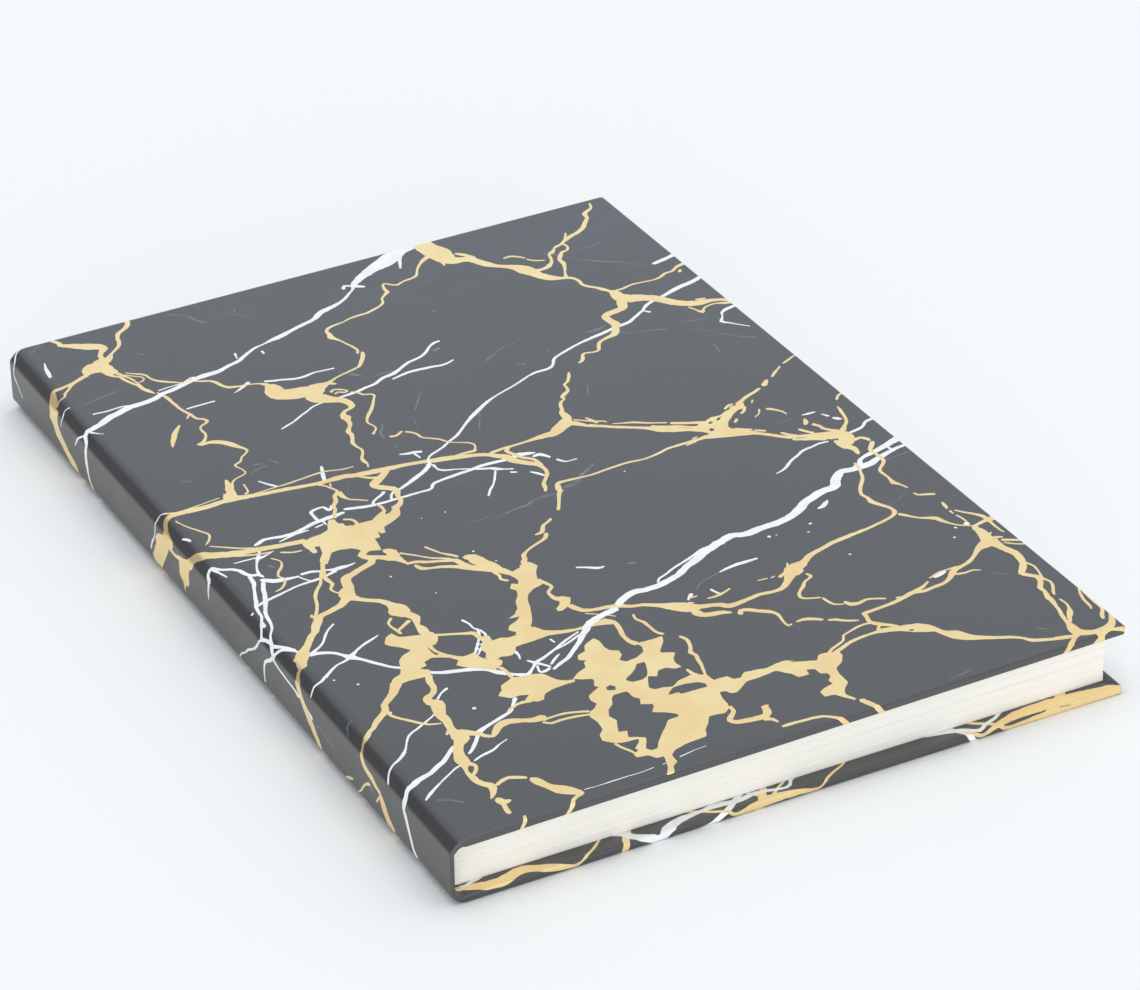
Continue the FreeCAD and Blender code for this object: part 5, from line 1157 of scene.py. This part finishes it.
# A vein that ends within RIM of an edge goes on over it, in a few bent steps
RIM = 0.8
OVERRUN_STEPS, OVERRUN = 7, 2.6
OVERRUN_SLANT, OVERRUN_BEND, OVERRUN_THINS_TO = 0.6, 0.5, 0.6


def lies_on_rim(p):
    return p[0] > COVER_U - RIM or abs(p[1]) > HALF_HEIGHT - RIM


def runs_over(route):
    """The route with its rim ends carried on over the folded edge and into the turn-in."""
    pts = [tuple(p) for p in route]
    for _ in range(2):
        pts.reverse()
        (u, v, w), before = pts[-1], pts[-2]
        if not lies_on_rim(pts[-1]):
            continue
        du, dv = u - before[0], v - before[1]
        if u > COVER_U - RIM:
            du = max(abs(du), OVERRUN_SLANT * abs(dv), 0.1)
        else:
            dv = math.copysign(max(abs(dv), OVERRUN_SLANT * abs(du), 0.1), v)
        size = math.hypot(du, dv)
        for k in range(1, OVERRUN_STEPS + 1):
            bend = OVERRUN_BEND * noise.noise(Vector((u * 0.21, v * 0.17, k * 0.7)))
            u += OVERRUN * (du / size - bend * dv / size)
            v += OVERRUN * (dv / size + bend * du / size)
            pts.append((u, v, w * lerp(1.0, OVERRUN_THINS_TO, k / OVERRUN_STEPS)))
    return pts


def cover_paper(name, sheet, up, tilt, pattern, materials):
    """One printed sheet of the case. pattern holds its veins and its broad areas, level by level."""
    first_seed = 1 if up else 57
    routes, islands = pattern
    for mark, group in routes:
        for i, route in enumerate(group):
            sheet.stroke(runs_over(route), mark, 100 * mark + first_seed + i)
    for mark, group in islands:
        for i, ring in enumerate(group):
            sheet.island(ring, mark, 900 + i)
    return sheet.mesh(name, tilt, up, materials)


def new_piece(add, name, **options):
    bpy.ops.object.select_all(action="DESELECT")
    add(**options)
    obj = bpy.context.active_object
    obj.name = obj.data.name = name
    return obj


def to_origin(obj):
    obj.data.transform(obj.matrix_basis)
    obj.matrix_basis = Matrix.Identity(4)


def cut(obj, where, normal):
    """One straight cut right through the mesh."""
    bpy.ops.object.mode_set(mode="EDIT")
    bpy.ops.mesh.select_all(action="SELECT")
    bpy.ops.mesh.bisect(plane_co=where, plane_no=normal)
    bpy.ops.object.mode_set(mode="OBJECT")


def shift_points(obj, chosen, offset):
    """Moves the vertices for which chosen(point) holds."""
    bpy.ops.object.mode_set(mode="EDIT")
    bpy.ops.mesh.select_mode(type="VERT")
    bpy.ops.mesh.select_all(action="DESELECT")
    bm = bmesh.from_edit_mesh(obj.data)
    for v in bm.verts:
        v.select = bool(chosen(v.co))
    bm.select_flush_mode()
    bmesh.update_edit_mesh(obj.data)
    bpy.ops.transform.translate(value=offset)
    bpy.ops.object.mode_set(mode="OBJECT")


# Where the endpaper bends, in x, and how far it is raised near the foot of the block
FOOT_RAISES = ((-72.8, 0.2), (-72.3, 0.17), (-71.8, 0.11), (-71.3, 0.04))
BEND_CUTS = (-72.3, -71.8, -71.3, HINGE_X, HINGE_X + 0.6, HINGE_X + 4, -40, 0, 30)
TURN_IN_RAMP = 0.25
GLUE_GAP = 0.005
AT_CUT = 1e-5


def new_plate(add, name, z0, z1):
    """A piece with the block's plan, from z0 to z1."""
    obj = new_piece(add, name, size=1.0)
    obj.scale = (BLOCK_WIDTH * MM, 2 * BLOCK_Y * MM, (z1 - z0) * MM or 1)
    obj.location = ((BLOCK_X0 + BLOCK_X1) / 2 * MM, 0, (z0 + z1) / 2 * MM)
    to_origin(obj)
    return obj


def endpaper(name, up, tilt, material):
    """The pasted-down half of an endpaper: over the turn-ins, flat on the board, down to the block."""
    obj = new_plate(bpy.ops.mesh.primitive_plane_add, name, 0, 0)
    step_x, step_y = FORE_X - TURN_IN, HALF_HEIGHT - TURN_IN
    for x in BEND_CUTS + (step_x - TURN_IN_RAMP, step_x):
        cut(obj, (x * MM, 0, 0), (1, 0, 0))
    for y in (-step_y, -step_y + TURN_IN_RAMP, step_y - TURN_IN_RAMP, step_y):
        cut(obj, (0, y * MM, 0), (0, 1, 0))
    shift_points(obj, lambda p: p.x > step_x * MM - AT_CUT / 10 or abs(p.y) > step_y * MM - AT_CUT / 10,
                 (0, 0, WRAP * MM))
    for x, raised in FOOT_RAISES:
        shift_points(obj, lambda p, x=x: abs(p.x - x * MM) < AT_CUT, (0, 0, raised * MM))
    level = INNER_FACE + GLUE_GAP
    if up:
        obj.data.transform(Matrix.Scale(-1, 4, (0, 0, 1)))
        turn = Matrix.Rotation(-tilt, 4, "Y")
        pivot = Vector((HINGE_X, 0, HINGE_Z)) * MM
        lower = Matrix.Translation((0, 0, (HINGE_Z - level) * MM))
        obj.data.transform(Matrix.Translation(pivot) @ turn @ Matrix.Translation(-pivot) @ lower)
        obj.data.flip_normals()
    else:
        obj.data.transform(Matrix.Translation((0, 0, level * MM)))
    obj.data.materials.append(material)
    thicken(obj, ENDPAPER, 1.0)
    return obj


# The block's edges: every fourteenth line is the deeper gap between two sewn sections
LEAVES, SECTION = 84, 14
SECTION_INSET, LEAF_INSET = 0.16, 0.05
FACES_UP = 0.9


def page_block(name, edge_look, face_look):
    """The sewn block: one closed solid whose cut edges show its leaves, a flyleaf above and below."""
    x0, width, foot = BLOCK_X0 * MM, BLOCK_WIDTH * MM, BLOCK_Z0 * MM
    rise = math.tan(TILT)
    obj = new_plate(bpy.ops.mesh.primitive_cube_add, name, BLOCK_Z0, BLOCK_Z1)
    shift_points(obj, lambda p: p.x > 0 and p.z > foot + 1 * MM, (0, 0, width * rise))
    for k in range(1, LEAVES):
        t = k / LEAVES
        cut(obj, (x0, 0, lerp(BLOCK_Z0, BLOCK_Z1, t) * MM), (-rise * t, 0, 1))
    random.seed(41)
    bpy.ops.object.mode_set(mode="EDIT")
    bm = bmesh.from_edit_mesh(obj.data)
    rings = {}
    for v in bm.verts:
        top = BLOCK_Z1 * MM + rise * (v.co.x - x0)
        rings.setdefault(round((v.co.z - foot) / (top - foot) * LEAVES), []).append(v)
    for k, ring in rings.items():
        if k in (0, LEAVES):
            continue
        inset = (SECTION_INSET if k % SECTION == 0 else random.uniform(0.0, LEAF_INSET)) * MM
        for v in ring:
            if v.co.x > 0:
                v.co.x -= inset
            v.co.y -= math.copysign(inset, v.co.y)
    bmesh.update_edit_mesh(obj.data)
    bpy.ops.object.mode_set(mode="OBJECT")
    for look in (edge_look, face_look):
        obj.data.materials.append(look)
    for face in obj.data.polygons:
        face.material_index = 1 if abs(face.normal.z) > FACES_UP else 0
    return obj


def srgb(code):
    """Linear RGBA of an sRGB hex colour."""
    parts = [int(code[i:i + 2], 16) / 255 for i in (1, 3, 5)]
    return tuple(c / 12.92 if c <= 0.04045 else ((c + 0.055) / 1.055) ** 2.4 for c in parts) + (1.0,)


class Look:
    """A node material with one surface shader."""

    def __init__(self, name, colour, rough, metal=0.0, **sockets):
        self.material = bpy.data.materials.new(name)
        self.material.use_nodes = True
        self.tree = self.material.node_tree
        self.shader = self.tree.nodes["Principled BSDF"]
        self.shader.inputs["Base Color"].default_value = srgb(colour)
        self.shader.inputs["Roughness"].default_value = rough
        self.shader.inputs["Metallic"].default_value = metal
        for key, value in sockets.items():
            self.shader.inputs[key.replace("_", " ")].default_value = value

    def add(self, kind, values=None, links=None, **fields):
        """One node, with its fields, its input values, and what feeds its inputs."""
        n = self.tree.nodes.new("ShaderNode" + kind)
        for key, value in fields.items():
            setattr(n, key, value)
        for key, value in (values or {}).items():
            n.inputs[key].default_value = value
        for key, source in (links or {}).items():
            self.tree.links.new(source, n.inputs[key])
        return n

    def feed(self, socket, source):
        self.tree.links.new(source, self.shader.inputs[socket])

    def place(self):
        """Object coordinates of the piece, in metres."""
        return self.add("TexCoord").outputs["Object"]

    def grain(self, period, detail):
        """Noise whose blotches are about period mm wide."""
        return self.add("TexNoise", {"Scale": 1 / (period * MM), "Detail": detail, "Roughness": 0.6},
                        {"Vector": self.place()}).outputs["Fac"]

    def relief(self, height, depth, strength=1.0):
        """Surface relief, depth in mm."""
        bump = self.add("Bump", {"Strength": strength, "Distance": depth * MM}, {"Height": height})
        self.feed("Normal", bump.outputs["Normal"])

    def tones(self, fac, dark, light, low=0.35, high=0.65):
        """Base colour from dark to light as fac goes from low to high."""
        share = self.add("MapRange", {"From Min": low, "From Max": high}, {"Value": fac})
        mix = self.add("Mix", {6: srgb(dark), 7: srgb(light)}, {0: share.outputs[0]}, data_type="RGBA")
        self.feed("Base Color", mix.outputs[2])

    def rub(self, fac, smooth, rough):
        """Roughness from smooth to rough with fac."""
        share = self.add("MapRange", {"From Min": 0.3, "From Max": 0.7, "To Min": smooth, "To Max": rough},
                         {"Value": fac})
        self.feed("Roughness", share.outputs[0])


def black_laminate():
    """Black print under a satin film: one low, even sheen that lifts the black to a soft blue grey
    towards the light, with the paper's faint grain and slightly uneven gloss under it."""
    look = Look("black satin laminate", "#1A1C20", 0.34, IOR=2.0)
    look.relief(look.grain(0.6, 3.0), 0.002, 0.5)
    look.rub(look.grain(22.0, 2.0), 0.32, 0.37)
    return look.material


def gold_foil():
    """Stamped metal foil under the film: a warm metal glow, softer than a mirror, that goes pale
    towards the light and brown away from it; the paper's grain breaks the shine up a little."""
    look = Look("gold foil", "#FFE5AF", 0.32, metal=0.85)
    look.tones(look.grain(9.0, 3.0), "#FDDCA0", "#FFE8AE")
    look.relief(look.grain(0.9, 2.0), 0.002, 0.5)
    return look.material


def white_print():
    """Cool white veins printed under the same film: flat and clean, with the film's sheen on them."""
    look = Look("white print", "#EFF1F2", 0.35)
    look.tones(look.grain(3.0, 2.0), "#F0F2F3", "#FDFDFC")
    return look.material


def grey_print():
    """Faint veins: a thin grey tint over the black, under the same film, as seen deep in stone."""
    look = Look("faint grey print", "#666C72", 0.35)
    look.tones(look.grain(4.0, 2.0), "#565C62", "#747A80")
    return look.material


# Blotches per metre along the block's edge, and lines through its height: painted light and shade of the
# leaves
LEAF_LENGTHWAYS, LEAF_LINES = 9.0, 70.0


def page_paper():
    """Cream paper, cut: fine lines of lighter and darker tone along the block, which follow its slight
    wedge, are painted light and shade of the separate leaves, so that the edge reads as many leaves."""
    look = Look("cream paper, cut edge", "#F5F2EA", 0.85)
    parts = look.add("SeparateXYZ", links={"Vector": look.place()}).outputs
    slope, foot = math.tan(TILT), BLOCK_Z0 * MM
    height_at_zero = (BLOCK_Z1 - BLOCK_Z0 - slope * BLOCK_X0) * MM
    full = look.add("Math", {1: slope, 2: height_at_zero}, {0: parts["X"]},
                    operation="MULTIPLY_ADD").outputs[0]
    up = look.add("Math", {1: foot}, {0: parts["Z"]}, operation="SUBTRACT").outputs[0]
    level = look.add("Math", links={0: up, 1: full}, operation="DIVIDE").outputs[0]
    along = look.add("Math", links={0: parts["X"], 1: parts["Y"]}, operation="ADD").outputs[0]
    leaf = look.add("CombineXYZ", links={"X": along, "Z": level}).outputs[0]
    spread = look.add("Mapping", {"Scale": (LEAF_LENGTHWAYS, 1.0, LEAF_LINES)}, {"Vector": leaf}).outputs[0]
    lines = look.add("TexNoise", {"Scale": 1.0, "Detail": 4.0, "Roughness": 0.75}, {"Vector": spread})
    # painted light and shade: the leaves' lines are lit and shaded in the base colour
    look.tones(lines.outputs["Fac"], "#F3EEE3", "#FDFAF3", 0.32, 0.56)
    look.relief(lines.outputs["Fac"], 0.03, 0.25)
    return look.material


def endpaper_stock():
    """Smooth cream endpaper: warm, quite matt, with a fine tooth and the mottle of pulp."""
    look = Look("cream endpaper", "#EFEAE0", 0.8)
    look.tones(look.grain(1.4, 4.0), "#EDE8DE", "#F1EDE4")
    look.relief(look.grain(0.35, 3.0), 0.01)
    return look.material


def greyboard():
    """Bare greyboard: dull recycled pulp with darker and paler fibres."""
    look = Look("greyboard", "#8D8A84", 0.9)
    look.tones(look.grain(0.8, 5.0), "#76736D", "#A19E97")
    look.relief(look.grain(0.4, 3.0), 0.02)
    return look.material


def spine_card():
    """Stiff off-white card strip: plain and matt, a little mottled."""
    look = Look("white spine card", "#D9D6CF", 0.9)
    look.tones(look.grain(1.2, 4.0), "#CFCBC2", "#E0DDD6")
    return look.material


THREAD_SCALE, THREAD_WAVER = 125.0, 0.6


def lining_cloth():
    """Open lining cloth set in glue: pale threads up and across, about eight to the centimetre."""
    look = Look("open lining cloth", "#D8D2C4", 0.95)
    threads = [look.add("TexWave", {"Scale": THREAD_SCALE, "Distortion": THREAD_WAVER},
                        {"Vector": look.place()}, bands_direction=way).outputs["Fac"] for way in "YZ"]
    weave = look.add("Math", links={0: threads[0], 1: threads[1]}, operation="MAXIMUM").outputs[0]
    look.tones(weave, "#BDB5A3", "#E2DDD1", 0.3, 0.9)
    look.relief(weave, 0.08)
    return look.material


# The pieces of the object.
COVER_LOOKS = [black_laminate(), gold_foil(), white_print(), grey_print()]
ENDPAPER_LOOK = endpaper_stock()
FRONT, BACK = (FRONT_ROUTES, FRONT_ISLANDS), (BACK_ROUTES, BACK_ISLANDS)
cover_sheets = [Sheet(cover_outline(), cover_creases()) for _ in range(2)]

front = cover_paper("front_cover_paper", cover_sheets[0], True, TILT, FRONT, COVER_LOOKS)
back = cover_paper("back_cover_paper", cover_sheets[1], False, 0.0, BACK, COVER_LOOKS)
spine = cover_paper("spine_paper", Sheet(spine_outline(), spine_creases()), True, TILT, FRONT, COVER_LOOKS)
front_end = endpaper("front_endpaper_sheet", True, TILT, ENDPAPER_LOOK)
back_end = endpaper("back_endpaper_sheet", False, 0.0, ENDPAPER_LOOK)
pages = page_block("page_block", page_paper(), ENDPAPER_LOOK)

# Bend lines of the covers' sheets in x: the wrap at the spine's corner, where it is level with the hinge,
# and the endpaper at the foot of the block; below, the pieces are only baked in place and are not made to
# bend.
SHEET_BEND, ENDPAPER_BEND = (-73.60, -73.58), (-72.75, -71.35)
FRONT_AXIS_Z, BACK_AXIS_Z = 12.2, 1.8
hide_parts("front_wrap", "front_joint")
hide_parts("back_wrap", "back_joint")
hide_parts("spine_wrap")
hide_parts("front_endpaper")
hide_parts("back_endpaper")
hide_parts("text_block")
for piece, (start, end), height, body in (
        (front, SHEET_BEND, FRONT_AXIS_Z, "front_cover"),
        (back, SHEET_BEND, BACK_AXIS_Z, "back_cover"),
        (front_end, ENDPAPER_BEND, FRONT_AXIS_Z, "front_cover"),
        (back_end, ENDPAPER_BEND, BACK_AXIS_Z, "back_cover")):
    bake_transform(piece)
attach(spine, "book_block")
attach(pages, "book_block")

BOARD_LOOK = greyboard()
for node, material in (("front_board", BOARD_LOOK), ("back_board", BOARD_LOOK),
                       ("spine_board", spine_card()), ("spine_lining", lining_cloth())):
    shown = frame["nodes"][node]
    shown.data.materials.clear()
    shown.data.materials.append(material)


# Floor, light and camera.
FLOOR_SIZE, FLOOR_BELOW = 8.0, 0.0001
WALLS, WALL_LIGHT, CORNER_LIGHT = (0.955, 0.985, 1.01, 1), 0.80, 0.28
DARK_CORNER, CORNER_STARTS, CORNER_FULL = (-0.58, 0.75, 0.31), 0.86, 0.98
# Each lamp: size and place in metres, watts and colour; all of them point at the object.
LAMPS = {
    "overhead softbox": ((2.4, 2.4), (0, 0, 2.4), 15, (1, 1, 1)),
    "front strip light": ((2.6, 0.55), (-0.75, -2.3, 0.42), 14, (1, 1, 1)),
    "rear cool light": ((2.6, 0.5), (0.95, 1.55, 0.66), 1.8, (0.65, 0.98, 1.4))}
CAMERA_AT = (-360.6, -702.6, 475.7)
CAMERA_LOOK = (0.4005, 0.7633, -0.5069)
CAMERA_ROLL = math.radians(-0.77)
LENS, SENSOR = 139.4, 36.0
CLIP = (0.05, 30.0)


def floor():
    obj = new_piece(bpy.ops.mesh.primitive_plane_add, "floor", size=FLOOR_SIZE)
    obj.location = (0, 0, -FLOOR_BELOW)
    to_origin(obj)
    obj.data.materials.append(Look("pale floor", "#F8F9F9", 0.9).material)


def softbox(name, size, place, watts, colour):
    lamp = bpy.data.lights.new(name, "AREA")
    lamp.shape = "RECTANGLE"
    lamp.size, lamp.size_y = size
    lamp.energy = watts
    lamp.color = colour
    obj = bpy.data.objects.new(name, lamp)
    obj.location = place
    obj.rotation_euler = (-Vector(place)).to_track_quat("-Z", "Y").to_euler()
    bpy.context.collection.objects.link(obj)


def studio():
    """Even studio walls all round, with one darker corner behind the spine, which draws the shoulder."""
    world = bpy.data.worlds.new("studio")
    bpy.context.scene.world = world
    world.use_nodes = True
    tree, light = world.node_tree, world.node_tree.nodes["Background"]
    light.inputs["Color"].default_value = WALLS
    side = tree.nodes.new("ShaderNodeTexCoord")
    near = tree.nodes.new("ShaderNodeVectorMath")
    near.operation = "DOT_PRODUCT"
    near.inputs[1].default_value = DARK_CORNER
    fall = tree.nodes.new("ShaderNodeMapRange")
    fall.interpolation_type = "SMOOTHSTEP"
    for key, value in {"From Min": CORNER_STARTS, "From Max": CORNER_FULL,
                       "To Min": WALL_LIGHT, "To Max": CORNER_LIGHT}.items():
        fall.inputs[key].default_value = value
    tree.links.new(side.outputs["Generated"], near.inputs[0])
    tree.links.new(near.outputs["Value"], fall.inputs["Value"])
    tree.links.new(fall.outputs["Result"], light.inputs["Strength"])


def camera():
    data = bpy.data.cameras.new("camera")
    data.lens, data.sensor_width = LENS, SENSOR
    data.clip_start, data.clip_end = CLIP
    obj = bpy.data.objects.new("camera", data)
    bpy.context.collection.objects.link(obj)
    forward = Vector(CAMERA_LOOK).normalized()
    level_right = forward.cross(Vector((0, 0, 1))).normalized()
    level_up = level_right.cross(forward)
    right = level_right * math.cos(CAMERA_ROLL) + level_up * math.sin(CAMERA_ROLL)
    turned = Matrix((right, right.cross(forward), -forward)).transposed().to_4x4()
    obj.matrix_world = Matrix.Translation(Vector(CAMERA_AT) * MM) @ turned
    bpy.context.scene.camera = obj


floor()
studio()
for lamp_name, settings in LAMPS.items():
    softbox(lamp_name, *settings)
camera()
bpy.context.scene.view_settings.view_transform = "Standard"
